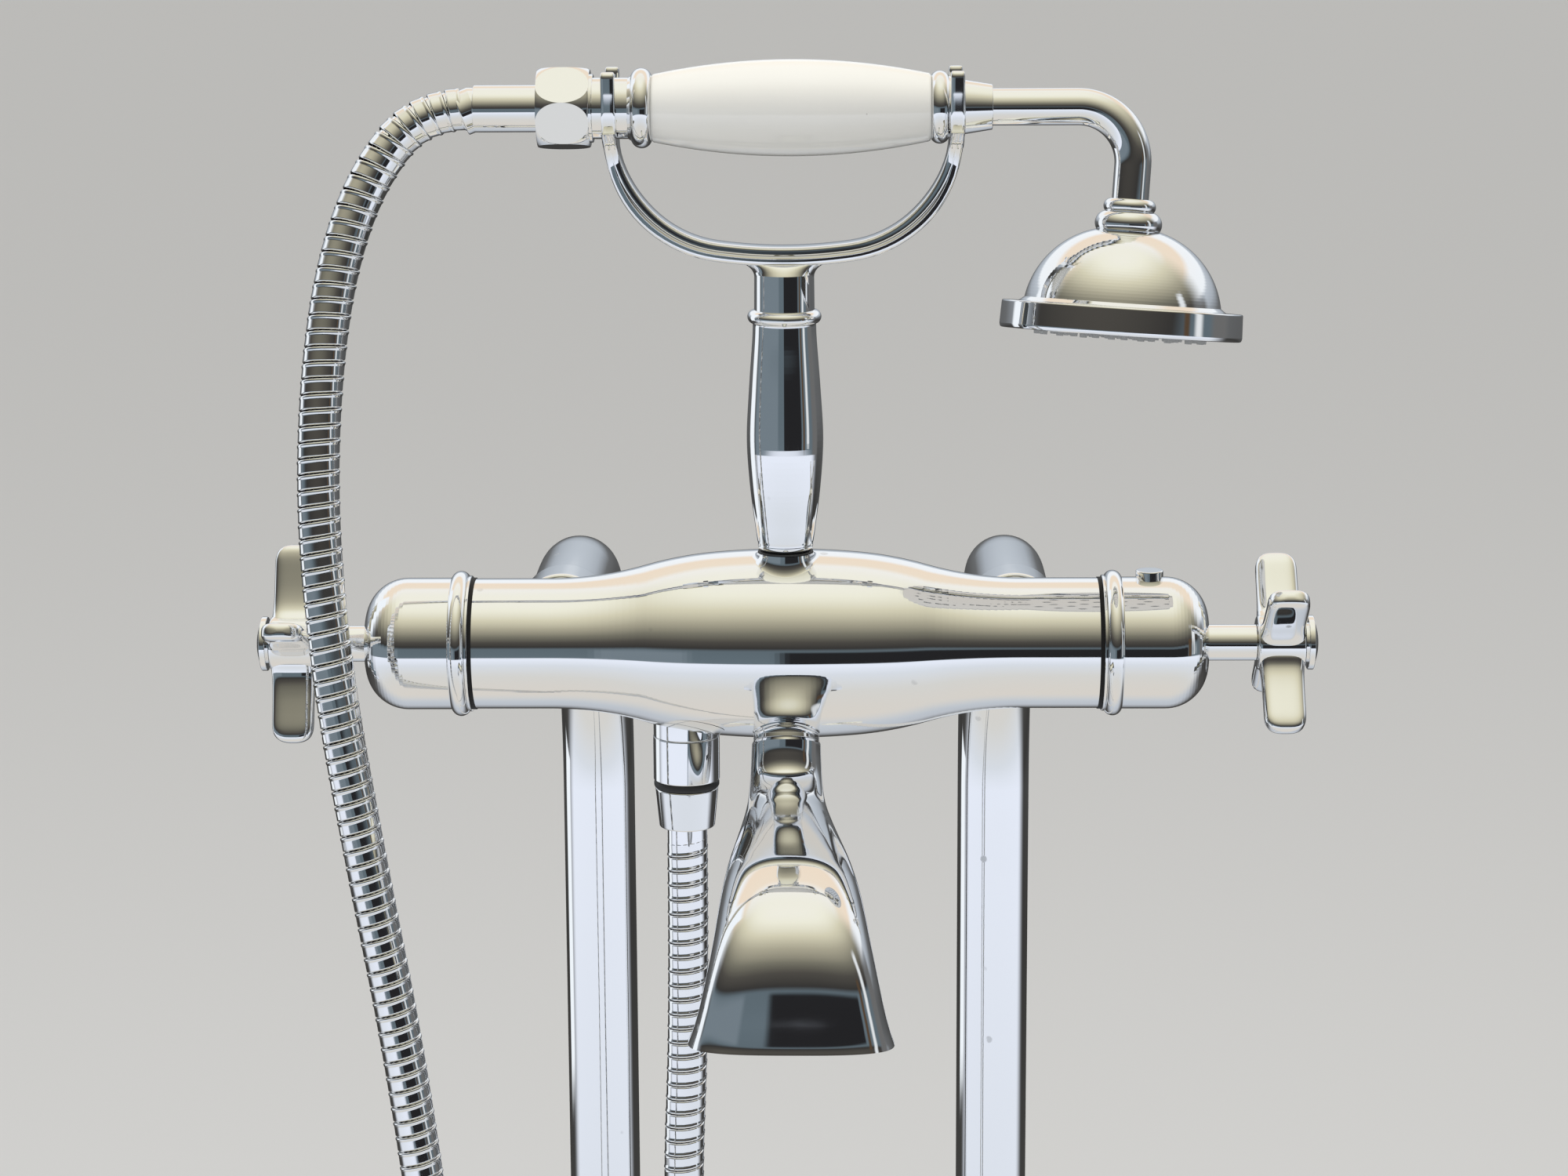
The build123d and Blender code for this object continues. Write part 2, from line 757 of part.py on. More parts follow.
with BuildPart() as outlet_ring:
    with BuildSketch(level(outlet_x, 0, -outlet_end)):
        Circle(ring_r)
        Circle(tail_thread_r, mode=Mode.SUBTRACT)
    extrude(amount=-ring_groove)
    outer_edges = outlet_ring.edges().filter_by(GeomType.CIRCLE).sort_by(SortBy.RADIUS)[-2:]
    fillet(outer_edges, 1.0)
outlet_ring.part.label = "outlet_ring"
export_step(outlet_ring.part, "parts/outlet_ring.step")

nut_top = outlet_end + ring_groove
with BuildPart() as hose_nut:
    with BuildSketch(level(outlet_x, 0, -nut_top)):
        Circle(hose_nut_r[0])
    with BuildSketch(level(outlet_x, 0, -hose_nut_end)):
        Circle(hose_nut_r[1])
    loft()
    with BuildSketch(level(outlet_x, 0, -nut_top)):
        Circle(tail_thread_r + fit)
    extrude(amount=-(hose_nut_end - nut_top - 2.0), mode=Mode.SUBTRACT)
    with BuildSketch(level(outlet_x, 0, -hose_nut_end)):
        Circle(lower_ferrule_r + fit)
    extrude(amount=2.0, mode=Mode.SUBTRACT)
hose_nut.part.label = "hose_nut"
export_step(hose_nut.part, "parts/hose_nut.step")

thread_end = nut_top + 7.0
with BuildPart() as hose_washer:
    with BuildSketch(level(outlet_x, 0, -thread_end)):
        Circle(tail_thread_r - 0.2)
        Circle(hose_bore_r, mode=Mode.SUBTRACT)
    extrude(amount=-washer_thick)
hose_washer.part.label = "hose_washer"
export_step(hose_washer.part, "parts/hose_washer.step")

with BuildPart() as lower_ferrule:
    with BuildSketch(level(outlet_x, 0, -thread_end - washer_thick)):
        Circle(tail_thread_r - 0.2)
    extrude(amount=-(hose_nut_end - 2.0 - thread_end - washer_thick))
    with BuildSketch(level(outlet_x, 0, -thread_end - washer_thick)):
        Circle(lower_ferrule_r)
    extrude(amount=-(lower_ferrule_end - thread_end - washer_thick))
    with BuildSketch(level(outlet_x, 0, -thread_end - washer_thick)):
        Circle(ferrule_bore_r)
    extrude(amount=-(lower_ferrule_end - thread_end - washer_thick), mode=Mode.SUBTRACT)
lower_ferrule.part.label = "lower_ferrule"
export_step(lower_ferrule.part, "parts/lower_ferrule.step")

# Handset: hose ferrule, washer and hexagon nut
plate_left = yoke_half + fork_thick / 2
shoulder_end = -plate_left - 0.4
flange_start = nut_start + nut_face
flange_end = flange_start + flange_thick
with BuildPart() as upper_ferrule:
    with BuildSketch(across(hand_origin, ferrule_start)):
        Circle(ferrule_r)
    extrude(amount=flange_end - ferrule_start)
    with BuildSketch(across(hand_origin, flange_start)):
        Circle(flange_r)
    extrude(amount=flange_thick)
    with BuildSketch(across(hand_origin, ferrule_start)):
        Circle(ferrule_bore_r)
    extrude(amount=flange_end - ferrule_start, mode=Mode.SUBTRACT)
upper_ferrule.part.label = "upper_ferrule"
export_step(upper_ferrule.part, "parts/upper_ferrule.step")

with BuildPart() as handset_washer:
    with BuildSketch(across(hand_origin, flange_end + joint_gap)):
        Circle(flange_r)
        Circle(hose_bore_r, mode=Mode.SUBTRACT)
    extrude(amount=washer_thick - joint_gap)
handset_washer.part.label = "handset_washer"
export_step(handset_washer.part, "parts/handset_washer.step")

with BuildPart() as hexagon_nut:
    with BuildSketch(across(hand_origin, nut_start)):
        RegularPolygon(nut_flats / 2, 6, major_radius=False)
    extrude(amount=nut_end - nut_start)
    with BuildSketch(hand_plane):
        with BuildLine():
            corner_r = nut_flats / 2 / cos(radians(30))
            Polyline(
                (nut_start, 0),
                (nut_start, nut_flats / 2 - 0.8),
                (nut_start + 1.6, corner_r + 0.05),
                (nut_end - 1.6, corner_r + 0.05),
                (nut_end, nut_flats / 2 - 0.8),
                (nut_end, 0),
                close=True,
            )
        make_face()
    revolve(axis=hand_axis, mode=Mode.INTERSECT)
    with BuildSketch(across(hand_origin, nut_end)):
        Circle(nut_rim_r)
    extrude(amount=nut_rim)
    with BuildSketch(across(hand_origin, nut_end + nut_rim)):
        Circle(shoulder_r)
    extrude(amount=shoulder_end - nut_end - nut_rim)
    with BuildSketch(across(hand_origin, flange_start - joint_gap)):
        Circle(neck_r + fit)
    extrude(amount=shoulder_end - flange_start + joint_gap, mode=Mode.SUBTRACT)
    with BuildSketch(across(hand_origin, nut_start)):
        Circle(ferrule_r + fit)
    extrude(amount=nut_face, mode=Mode.SUBTRACT)
hexagon_nut.part.label = "hexagon_nut"
export_step(hexagon_nut.part, "parts/hexagon_nut.step")


def half_round(start, end, root_r, crest_r):
    """Outline of a bead on an axis: a bold arc between two places."""
    middle = (start + end) / 2
    return ThreePointArc((start, root_r), (middle, crest_r), (end, root_r))


# Inlet end of the handset: a straight tail, threaded inside the nut, that is also the neck
thread_start = flange_end + washer_thick
cup_depth = 3.0
cup_r = grip_end_r - 1.3
with BuildPart() as handset_inlet:
    with BuildSketch(across(hand_origin, thread_start)):
        Circle(neck_r)
        Circle(waterway_r, mode=Mode.SUBTRACT)
    extrude(amount=left_bead[0] - thread_start)
handset_inlet.part.label = "handset_inlet"
export_step(handset_inlet.part, "parts/handset_inlet.step")


def make_bead(side, name, span, root_r, crest_r):
    """Half-round ring that cups the end of the grip and closes it."""
    near, far = sorted(span, key=abs)
    with BuildPart() as bead:
        with BuildSketch(hand_plane):
            with BuildLine():
                round_face = half_round(near, far, root_r, crest_r)
                Polyline(
                    round_face @ 1,
                    (far, waterway_r),
                    (near + side * cup_depth, waterway_r),
                    (near + side * cup_depth, cup_r),
                    (near, cup_r),
                    round_face @ 0,
                )
            make_face()
        revolve(axis=hand_axis)
    bead.part.label = f"{name}_bead"
    export_step(bead.part, f"parts/{name}_bead.step")


make_bead(-1, "left", left_bead, neck_r + 0.6, left_bead_r)
make_bead(1, "right", right_bead, neck_r + 0.2, right_bead_r)

# Outlet end: neck for the fork, and the tapered sleeve of the gooseneck
with BuildPart() as handset_outlet:
    with BuildSketch(hand_plane):
        with BuildLine():
            Polyline(
                (right_bead[1], waterway_r),
                (right_bead[1], neck_r),
                (plate_left - 0.3, neck_r),
                (plate_left - 0.3, sleeve_r[0]),
                (sleeve_end - sleeve_collar, sleeve_r[1]),
                (sleeve_end - sleeve_collar, sleeve_r[1] - 0.35),
                (sleeve_end, sleeve_r[1] - 0.35),
                (sleeve_end, goose_r + fit),
                (plate_left, goose_r + fit),
                (plate_left, waterway_r),
                close=True,
            )
        make_face()
    revolve(axis=hand_axis)
handset_outlet.part.label = "handset_outlet"
export_step(handset_outlet.part, "parts/handset_outlet.step")

# Porcelain grip, and the brass tube that ties both ends together through it
with BuildPart() as porcelain_grip:
    with BuildSketch(hand_plane):
        with BuildLine():
            swell = ThreePointArc(
                (left_bead[1], grip_end_r),
                ((left_bead[1] + right_bead[0]) / 2, grip_belly_r),
                (right_bead[0], grip_end_r),
            )
            Polyline(
                swell @ 1,
                (right_bead[0], grip_tube_r + 0.3),
                (left_bead[1], grip_tube_r + 0.3),
                swell @ 0,
            )
        make_face()
    revolve(axis=hand_axis)
porcelain_grip.part.label = "porcelain_grip"
export_step(porcelain_grip.part, "parts/porcelain_grip.step")

with BuildPart() as grip_tube:
    with BuildSketch(across(hand_origin, left_bead[1] - cup_depth)):
        Circle(grip_tube_r)
        Circle(grip_tube_r - grip_tube_wall, mode=Mode.SUBTRACT)
    extrude(amount=right_bead[0] - left_bead[1] + 2 * cup_depth)
grip_tube.part.label = "grip_tube"
export_step(grip_tube.part, "parts/grip_tube.step")

# Gooseneck: a bent tube from the sleeve down into the rose's beads
with BuildPart() as gooseneck:
    with BuildLine(hand_plane) as goose_line:
        run = Line((plate_left, 0), (goose_bend_start, 0))
        bend = JernArc(run @ 1, (1, 0), goose_bend_r, -goose_turn)
        goose_end = Line(bend @ 1, bend @ 1 + (bend % 1) * (goose_tail + bead_small))
    with BuildSketch(across(hand_origin, plate_left)):
        Circle(goose_r)
        Circle(goose_r - goose_wall, mode=Mode.SUBTRACT)
    sweep()
gooseneck.part.label = "gooseneck"
export_step(gooseneck.part, "parts/gooseneck.step")

# The rose hangs on its own axis, square to the gooseneck's last run
goose_x = goose_bend_start + goose_bend_r * sin(radians(goose_turn))
goose_y = -goose_bend_r * (1 - cos(radians(goose_turn)))
hang = (cos(radians(-goose_turn)), sin(radians(-goose_turn)))
rose_top = goose_tail + bead_small + bead_large
rose_centre = rose_top + rose_drop
rose_origin = hand_plane.from_local_coords(
    (goose_x + hang[0] * rose_centre, goose_y + hang[1] * rose_centre, 0)
)
rose_up = hand_plane.from_local_coords(
    (goose_x + hang[0] * (rose_centre - 1), goose_y + hang[1] * (rose_centre - 1), 0)
) - rose_origin
rose_side = (rose_up.cross(hand_plane.z_dir)).normalized()
rose_plane = Plane(rose_origin, x_dir=rose_side, z_dir=rose_side.cross(rose_up))
rose_axis = Axis(rose_origin, rose_up)
rose_level = Plane(rose_origin, x_dir=rose_side, z_dir=rose_up)

# Collar of two beads between gooseneck and rose
dome_top = rose_drop
collar_top = dome_top + bead_large + bead_small
with BuildPart() as rose_collar:
    with BuildSketch(rose_plane):
        with BuildLine():
            large = ThreePointArc(
                (rose_crown_r - 0.6, dome_top),
                (bead_large_r, dome_top + bead_large * 0.45),
                (bead_small_r - 1.0, dome_top + bead_large),
            )
            small = ThreePointArc(
                large @ 1,
                (bead_small_r, dome_top + bead_large + bead_small / 2),
                (goose_r + 0.9, collar_top),
            )
            Polyline(
                small @ 1,
                (goose_r + fit, collar_top),
                (goose_r + fit, collar_top - bead_small),
                (waterway_r, collar_top - bead_small),
                (waterway_r, dome_top),
                large @ 0,
            )
        make_face()
    revolve(axis=rose_axis)
rose_collar.part.label = "rose_collar"
export_step(rose_collar.part, "parts/rose_collar.step")

# Rose: a domed bell with a broad rim, a rubber nozzle mat and a face plate
rim_top = rose_rim / 2
rim_bottom = -rose_rim / 2
mat_top = rim_bottom + plate_recess + plate_thick + mat_thick
with BuildPart() as rose_bell:
    with BuildSketch(rose_plane):
        with BuildLine():
            dome = RadiusArc(
                (rose_crown_r - 0.6, dome_top), (rose_dome_r, rim_top + 0.6), rose_dome_arc_r
            )
            rim = Polyline(
                dome @ 1,
                (rose_dome_r + 1.0, rim_top),
                (rose_rim_r - rose_rim_round, rim_top),
                (rose_rim_r, rim_top - rose_rim_round),
                (rose_rim_r, rim_bottom + 0.4),
                (rose_rim_r - 0.4, rim_bottom),
                (plate_r + fit, rim_bottom),
                (plate_r + fit, mat_top),
                (rose_dome_r - rose_wall, mat_top),
            )
            inner = RadiusArc(
                (rose_dome_r - rose_wall, mat_top),
                (rose_crown_r - 1.0, dome_top - rose_wall),
                -rose_dome_arc_r - 1.2,
            )
            Polyline(inner @ 1, (waterway_r, dome_top - rose_wall), (waterway_r, dome_top), dome @ 0)
        make_face()
    revolve(axis=rose_axis)
rose_bell.part.label = "rose_bell"
export_step(rose_bell.part, "parts/rose_bell.step")

with BuildPart() as nozzle_mat:
    with BuildSketch(rose_level.offset(mat_top - mat_thick)):
        Circle(plate_r)
    extrude(amount=mat_thick)
    for ring in range(nozzle_ring_count):
        with BuildSketch(rose_level.offset(mat_top - mat_thick)):
            with PolarLocations(ring * nozzle_pitch, max(1, ring * nozzle_step_count)):
                Circle(nozzle_r - fit)
        extrude(amount=-nozzle_length, taper=6)
nozzle_mat.part.label = "nozzle_mat"
export_step(nozzle_mat.part, "parts/nozzle_mat.step")

with BuildPart() as face_plate:
    with BuildSketch(rose_level.offset(rim_bottom + plate_recess)):
        Circle(plate_r)
        for ring in range(nozzle_ring_count):
            with PolarLocations(ring * nozzle_pitch, max(1, ring * nozzle_step_count)):
                Circle(nozzle_r, mode=Mode.SUBTRACT)
    extrude(amount=plate_thick)
face_plate.part.label = "face_plate"
export_step(face_plate.part, "parts/face_plate.step")


def make_leg(side, name):
    """Inlet union, leg with its supply pipe inside, and the foot on the floor."""
    x = side * inlet_pitch / 2
    washer_end = inlet_face + inlet_washer
    with BuildPart() as inlet_washer_ring:
        with BuildSketch(facing_back(x, inlet_face)):
            Circle(inlet_boss_r - 0.2)
            Circle(inlet_way_r, mode=Mode.SUBTRACT)
        extrude(amount=inlet_washer)
    inlet_washer_ring.part.label = f"{name}_inlet_washer"
    export_step(inlet_washer_ring.part, f"parts/{name}_inlet_washer.step")
    with BuildPart() as union_nut:
        with BuildSketch(facing_back(x, union_start)):
            Circle(union_r)
        extrude(amount=union_end - union_start)
        fillet(union_nut.edges(), 1.2)
        with BuildSketch(facing_back(x, union_start)):
            Circle(inlet_boss_r + fit)
        extrude(amount=union_end - union_start - union_lip, mode=Mode.SUBTRACT)
        with BuildSketch(facing_back(x, union_end)):
            Circle(tail_r + fit)
        extrude(amount=-union_lip, mode=Mode.SUBTRACT)
    union_nut.part.label = f"{name}_union_nut"
    export_step(union_nut.part, f"parts/{name}_union_nut.step")
    with BuildPart() as union_tail:
        with BuildSketch(facing_back(x, washer_end)):
            Circle(inlet_boss_r - 0.2)
        extrude(amount=union_end - union_lip - washer_end)
        with BuildSketch(facing_back(x, washer_end)):
            Circle(tail_r)
        extrude(amount=tail_end - washer_end)
        with BuildSketch(facing_back(x, washer_end)):
            Circle(supply_r - supply_wall)
        extrude(amount=tail_end - washer_end, mode=Mode.SUBTRACT)
        with BuildSketch(facing_back(x, tail_end)):
            Circle(supply_r + fit)
        extrude(amount=-6.0, mode=Mode.SUBTRACT)
    union_tail.part.label = f"{name}_union_tail"
    export_step(union_tail.part, f"parts/{name}_union_tail.step")
    side_plane = Plane((x, 0, 0), x_dir=(0, 1, 0), z_dir=(1, 0, 0))
    with BuildPart() as leg:
        with BuildLine(side_plane):
            arm = Line((union_end - body_reach, body_height), (-leg_bend_r, body_height))
            elbow = JernArc(arm @ 1, (1, 0), leg_bend_r, -90)
            Line(elbow @ 1, (0, foot_thick - 1.0))
        with BuildSketch(facing_back(x, union_end)):
            Circle(leg_r)
            Circle(leg_r - leg_wall, mode=Mode.SUBTRACT)
        sweep()
    leg.part.label = f"{name}_leg"
    export_step(leg.part, f"parts/{name}_leg.step")
    with BuildPart() as supply_pipe:
        with BuildLine(side_plane):
            arm = Line((tail_end - 6.0 - body_reach, body_height), (-leg_bend_r, body_height))
            elbow = JernArc(arm @ 1, (1, 0), leg_bend_r, -90)
            Line(elbow @ 1, (0, 0))
        with BuildSketch(facing_back(x, tail_end - 6.0)):
            Circle(supply_r)
            Circle(supply_r - supply_wall, mode=Mode.SUBTRACT)
        sweep()
    supply_pipe.part.label = f"{name}_supply_pipe"
    export_step(supply_pipe.part, f"parts/{name}_supply_pipe.step")
    with BuildPart() as foot:
        with BuildSketch(Plane((x, 0, 0))):
            Circle(foot_r)
        extrude(amount=foot_thick)
        fillet(foot.edges().group_by(Axis.Z)[-1], 2.0)
        with BuildSketch(Plane((x, 0, foot_thick - 1.0))):
            Circle(foot_collar_r)
        extrude(amount=foot_collar + 1.0)
        fillet(foot.edges().group_by(Axis.Z)[-1], 1.5)
        with BuildSketch(Plane((x, 0, foot_thick - 1.0))):
            Circle(leg_r + fit)
        extrude(amount=foot_collar + 1.0, mode=Mode.SUBTRACT)
        with BuildSketch(Plane((x, 0, 0))):
            Circle(supply_r + 0.5)
            with Locations((0, -foot_screw_y), (0, foot_screw_y)):
                Circle(foot_screw_r)
        extrude(amount=foot_thick, mode=Mode.SUBTRACT)
    foot.part.label = f"{name}_foot"
    export_step(foot.part, f"parts/{name}_foot.step")


make_leg(-1, "left")
make_leg(1, "right")

# Hose: route from the handset round to the outlet, measured from the middle of the body axis.
# It leaves the ferrule level, drops in front of the left shroud, and hangs in a loop.
hose_route = [
    (ferrule_start, -column_forward, handset_rise),
    (-112.0, -column_forward, handset_rise),
    (-128.5, -12.0, 153.0),
    (-138.5, -19.5, 126.0),
    (-143.5, -28.0, 92.0),
    (-145.0, -36.0, 50.0),
    (-141.0, -43.0, 0.0),
    (-131.5, -48.0, -58.0),
    (-119.5, -53.0, -125.0),
    (-110.0, -58.0, -205.0),
    (-107.0, -62.0, -290.0),
    (-112.0, -66.0, -380.0),
    (-121.0, -71.0, -462.0),
    (-129.0, -76.0, -530.0),
    (-129.5, -76.5, -586.0),
    (-103.0, -55.5, -626.0),
    (-60.0, -21.5, -637.0),
    (-20.0, 9.5, -617.0),
    (-3.0, 22.5, -568.0),
    (-8.0, 18.5, -505.0),
    (-20.0, 10.0, -432.0),
    (-30.0, 3.0, -350.0),
    (-35.0, 0.5, -265.0),
    (-35.5, 0.0, -185.0),
    (outlet_x, 0.0, -125.0),
    (outlet_x, 0.0, -lower_ferrule_end),
]
route = [Vector(x, y - body_reach, z + body_height) for x, y, z in hose_route]


def corner_radii(points, share=0.45):
    """Fillet radius at each corner of a route: a share of the shorter run beside it."""
    radii = []
    for before, corner, after in zip(points, points[1:], points[2:]):
        turn = (corner - before).get_angle(after - corner)
        shorter = min((corner - before).length, (after - corner).length)
        radii.append(share * shorter / tan(radians(turn) / 2))
    return radii


hose_radii = corner_radii(route)
with BuildLine() as hose_line:
    FilletPolyline(*route, radius=hose_radii)
hose_path = hose_line.wire()
print("hose length", round(hose_path.length, 1), "radii", [round(r) for r in hose_radii])

# Ribs: rings across the path, two in each groove and two on each crest
straight = 2 * hose_r
rib_pitch = (hose_path.length - 2 * straight) / hose_rib_count
groove_run = rib_pitch * hose_groove_share
ring_places = [(0.0, hose_r), (straight, hose_r)]
for rib in range(hose_rib_count):
    start = straight + rib * rib_pitch
    ring_places += [
        (start + 0.12 * groove_run, hose_r - hose_groove),
        (start + groove_run, hose_r - hose_groove),
        (start + 1.12 * groove_run, hose_r),
        (start + rib_pitch, hose_r),
    ]
ring_places.append((hose_path.length, hose_r))
# All rings share a side that is level and square to the hanging loop
loop_side = (route[17] - route[13]).cross(Vector(0, 0, 1)).normalized()
rings = []
for place, radius in ring_places:
    at = hose_path.position_at(place, position_mode=PositionMode.LENGTH)
    along = hose_path.tangent_at(place, position_mode=PositionMode.LENGTH)
    steady = loop_side - along * along.dot(loop_side)
    rings.append(Plane(at, x_dir=steady, z_dir=along) * Circle(radius))
with BuildPart() as shower_hose:
    loft(sections=rings, ruled=True)
    with BuildSketch(Plane(hose_path @ 0, z_dir=hose_path % 0)):
        Circle(hose_bore_r)
    sweep(path=hose_path, mode=Mode.SUBTRACT)
shower_hose.part.label = "shower_hose"
export_step(shower_hose.part, "parts/shower_hose.step")
plain_volume = pi * (hose_r**2 - hose_bore_r**2) * hose_path.length
print("hose volume", round(shower_hose.part.volume), "plain tube", round(plain_volume))
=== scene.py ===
# %% [markdown]
# A floor-standing bath and shower mixer, dressed for the camera.
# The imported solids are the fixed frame. Each visible piece is made again here with finer
# curves and edges, in the same place, because polished metal shows every facet.

import json
import math

import bmesh
import bpy
from mathutils import Matrix, Vector


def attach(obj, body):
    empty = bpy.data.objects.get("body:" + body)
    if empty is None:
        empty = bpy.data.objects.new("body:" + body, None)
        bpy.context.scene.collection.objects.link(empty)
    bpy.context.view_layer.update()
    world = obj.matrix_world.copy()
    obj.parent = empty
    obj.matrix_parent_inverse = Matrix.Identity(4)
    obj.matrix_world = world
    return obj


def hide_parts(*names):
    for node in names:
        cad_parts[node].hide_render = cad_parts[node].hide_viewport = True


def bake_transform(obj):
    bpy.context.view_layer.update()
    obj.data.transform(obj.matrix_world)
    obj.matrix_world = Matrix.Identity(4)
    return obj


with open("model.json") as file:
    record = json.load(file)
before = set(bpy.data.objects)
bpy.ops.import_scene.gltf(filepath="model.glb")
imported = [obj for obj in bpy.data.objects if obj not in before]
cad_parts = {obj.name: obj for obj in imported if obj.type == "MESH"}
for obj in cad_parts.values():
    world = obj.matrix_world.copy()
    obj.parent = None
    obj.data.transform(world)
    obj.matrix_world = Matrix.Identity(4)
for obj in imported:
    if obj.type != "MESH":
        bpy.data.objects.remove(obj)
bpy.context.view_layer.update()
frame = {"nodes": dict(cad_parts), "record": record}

# %% [markdown]
# Lengths below are in millimetres, measured from the middle of the mixer body, because that is
# how a turner would read them off a drawing. One helper turns such a point into metres above
# the floor. X runs along the body, Y to the back and Z up.

# %% Where the main axes are
BODY = Vector((0, -200, 780))
COLUMN = Vector((0, -207, 780))
HAND = Vector((0, -207, 952.1))
SWING = math.radians(7)
X, Y, Z = Vector((1, 0, 0)), Vector((0, 1, 0)), Vector((0, 0, 1))
HAND_UP = Vector((0, math.sin(SWING), math.cos(SWING)))


def metres(points):
    """Points in millimetres as points in metres."""
    return [Vector(p) / 1000 for p in points]


# %% [markdown]
# The camera stands at a person's chest height, a little over a metre away, and looks down on
# the mixer by twelve degrees, as in the photograph.

# %% Camera
camera = bpy.data.objects.new("camera", bpy.data.cameras.new("camera"))
bpy.context.scene.collection.objects.link(camera)
right, up, back = (
    Vector((0.99985, 0.01636, -0.00512)),
    Vector((0.00161, 0.20797, 0.97813)),
    Vector((0.01707, -0.97800, 0.20791)),
)
turn = Matrix((right, up, back)).transposed().to_4x4()
camera.matrix_world = Matrix.Translation((0.0195, -1.3571, 1.0441)) @ turn
camera.data.sensor_width = 36
camera.data.lens = 84.6
camera.data.clip_start, camera.data.clip_end = 0.05, 100
bpy.context.scene.camera = camera
bpy.context.scene.view_settings.view_transform = "Standard"

# %% [markdown]
# Shader maths reads best as plain sums. This small class holds one socket and gives it the
# usual operators, so that 1 - mask or noise * 0.2 adds its Math nodes by itself.


# %% A socket with operators
class Value:
    """One socket of a tree, with the usual operators."""

    def __init__(self, tree, socket):
        self.tree, self.socket = tree, socket

    def maths(self, operation, *others):
        return make_node(self.tree, "Math", {"operation": operation}, [self, *others])

    def __add__(self, other):
        return self.maths("ADD", other)

    def __mul__(self, other):
        return self.maths("MULTIPLY", other)

    def __sub__(self, other):
        return self.maths("SUBTRACT", other)

    def __rsub__(self, other):
        return self.maths("MULTIPLY_ADD", -1.0, other)

    __radd__, __rmul__ = __add__, __mul__

    def clamped(self, low, high):
        settings = {"data_type": "FLOAT", "interpolation_type": "SMOOTHSTEP"}
        return make_node(self.tree, "MapRange", settings, [self, low, high])


def make_node(tree, kind, settings=(), inputs=(), output=0, raw=False):
    """One node of a type, with its settings first and then its sockets' values or links."""
    node = tree.nodes.new(kind if "Node" in kind else "ShaderNode" + kind)
    for name, value in dict(settings).items():
        setattr(node, name, value)
    pairs = inputs.items() if isinstance(inputs, dict) else enumerate(inputs)
    for key, value in pairs:
        if isinstance(value, Value):
            tree.links.new(value.socket, node.inputs[key])
        else:
            node.inputs[key].default_value = value
    return node if raw else Value(tree, node.outputs[output])


# %% [markdown]
# Every finish starts from the same shader. Its constants are set on the shader's own sockets,
# and only what varies over a surface is linked.


# %% A finish, and its noises
def finish(name, colour, roughness, metallic=0.0, **sockets):
    """A material with one Principled shader; returns the material, its tree and the shader."""
    material = bpy.data.materials.new(name)
    material.use_nodes = True
    tree = material.node_tree
    shader = tree.nodes["Principled BSDF"]
    shader.inputs["Base Color"].default_value = (*colour, 1)
    shader.inputs["Roughness"].default_value = roughness
    shader.inputs["Metallic"].default_value = metallic
    for socket, value in sockets.items():
        shader.inputs[socket.replace("_", " ")].default_value = value
    return material, tree, shader


def noise(tree, scale, detail=3.0, stretch=(1, 1, 1)):
    """Noise on the object's own coordinates; scale is in lumps per metre."""
    place = make_node(tree, "TexCoord", output="Object")
    place = make_node(tree, "Mapping", {}, {"Vector": place, "Scale": stretch})
    return make_node(tree, "TexNoise", {}, {"Vector": place, "Scale": scale, "Detail": detail})


def tint(tree, shader, mask, low, high):
    """Base colour that runs from one colour to another with a mask."""
    mix = make_node(
        tree, "Mix", {"data_type": "RGBA"}, {"Factor": mask, "A": (*low, 1), "B": (*high, 1)}, raw=True
    )
    tree.links.new(mix.outputs["Result"], shader.inputs["Base Color"])


def bump(tree, shader, height, distance):
    """Small relief that follows a height between 0 and 1, in metres."""
    normal = make_node(tree, "Bump", {}, {"Height": height, "Distance": distance}, raw=True)
    tree.links.new(normal.outputs["Normal"], shader.inputs["Normal"])


# %% [markdown]
# Polished chrome is nearly a mirror. What makes it read as real metal is the small disturbance
# of that mirror: dried water spots, a faint haze where it was wiped, and the slight waviness
# that polishing leaves.


# %% Chrome and the other finishes
def make_chrome(name, colour, roughness, spots):
    """Mirror chrome with haze and a few dried drops; spots is how dull a drop is."""
    material, tree, shader = finish(name, colour, roughness, 1.0)
    haze = noise(tree, 28.0, 4.0).clamped(0.48, 0.75)
    place = make_node(tree, "TexCoord", output="Object")
    drops = make_node(
        tree, "TexVoronoi", {"feature": "F1"}, {"Vector": place, "Scale": 95.0, "Randomness": 1.0}
    )
    rare = noise(tree, 60.0, 1.0).clamped(0.62, 0.66)
    drop = (1 - drops.clamped(0.10, 0.16)) * rare
    rough = make_node(
        tree, "Math", {"operation": "ADD"}, [haze * 0.035 + roughness, drop * spots]
    )
    tree.links.new(rough.socket, shader.inputs["Roughness"])
    tint(tree, shader, drop, colour, tuple(c * 0.86 for c in colour))
    bump(tree, shader, noise(tree, 45.0, 1.5), 0.00002)
    return material


def make_plain(name, colour, roughness, grain, depth, metallic=0.0, **sockets):
    """A finish whose colour and roughness vary a little with a fine grain."""
    material, tree, shader = finish(name, colour, roughness, metallic, **sockets)
    mask = noise(tree, grain, 3.0)
    tint(tree, shader, mask, tuple(c * 0.88 for c in colour), tuple(min(1, c * 1.08) for c in colour))
    rough = mask * 0.12 + (roughness - 0.06)
    tree.links.new(rough.socket, shader.inputs["Roughness"])
    bump(tree, shader, mask, depth)
    return material


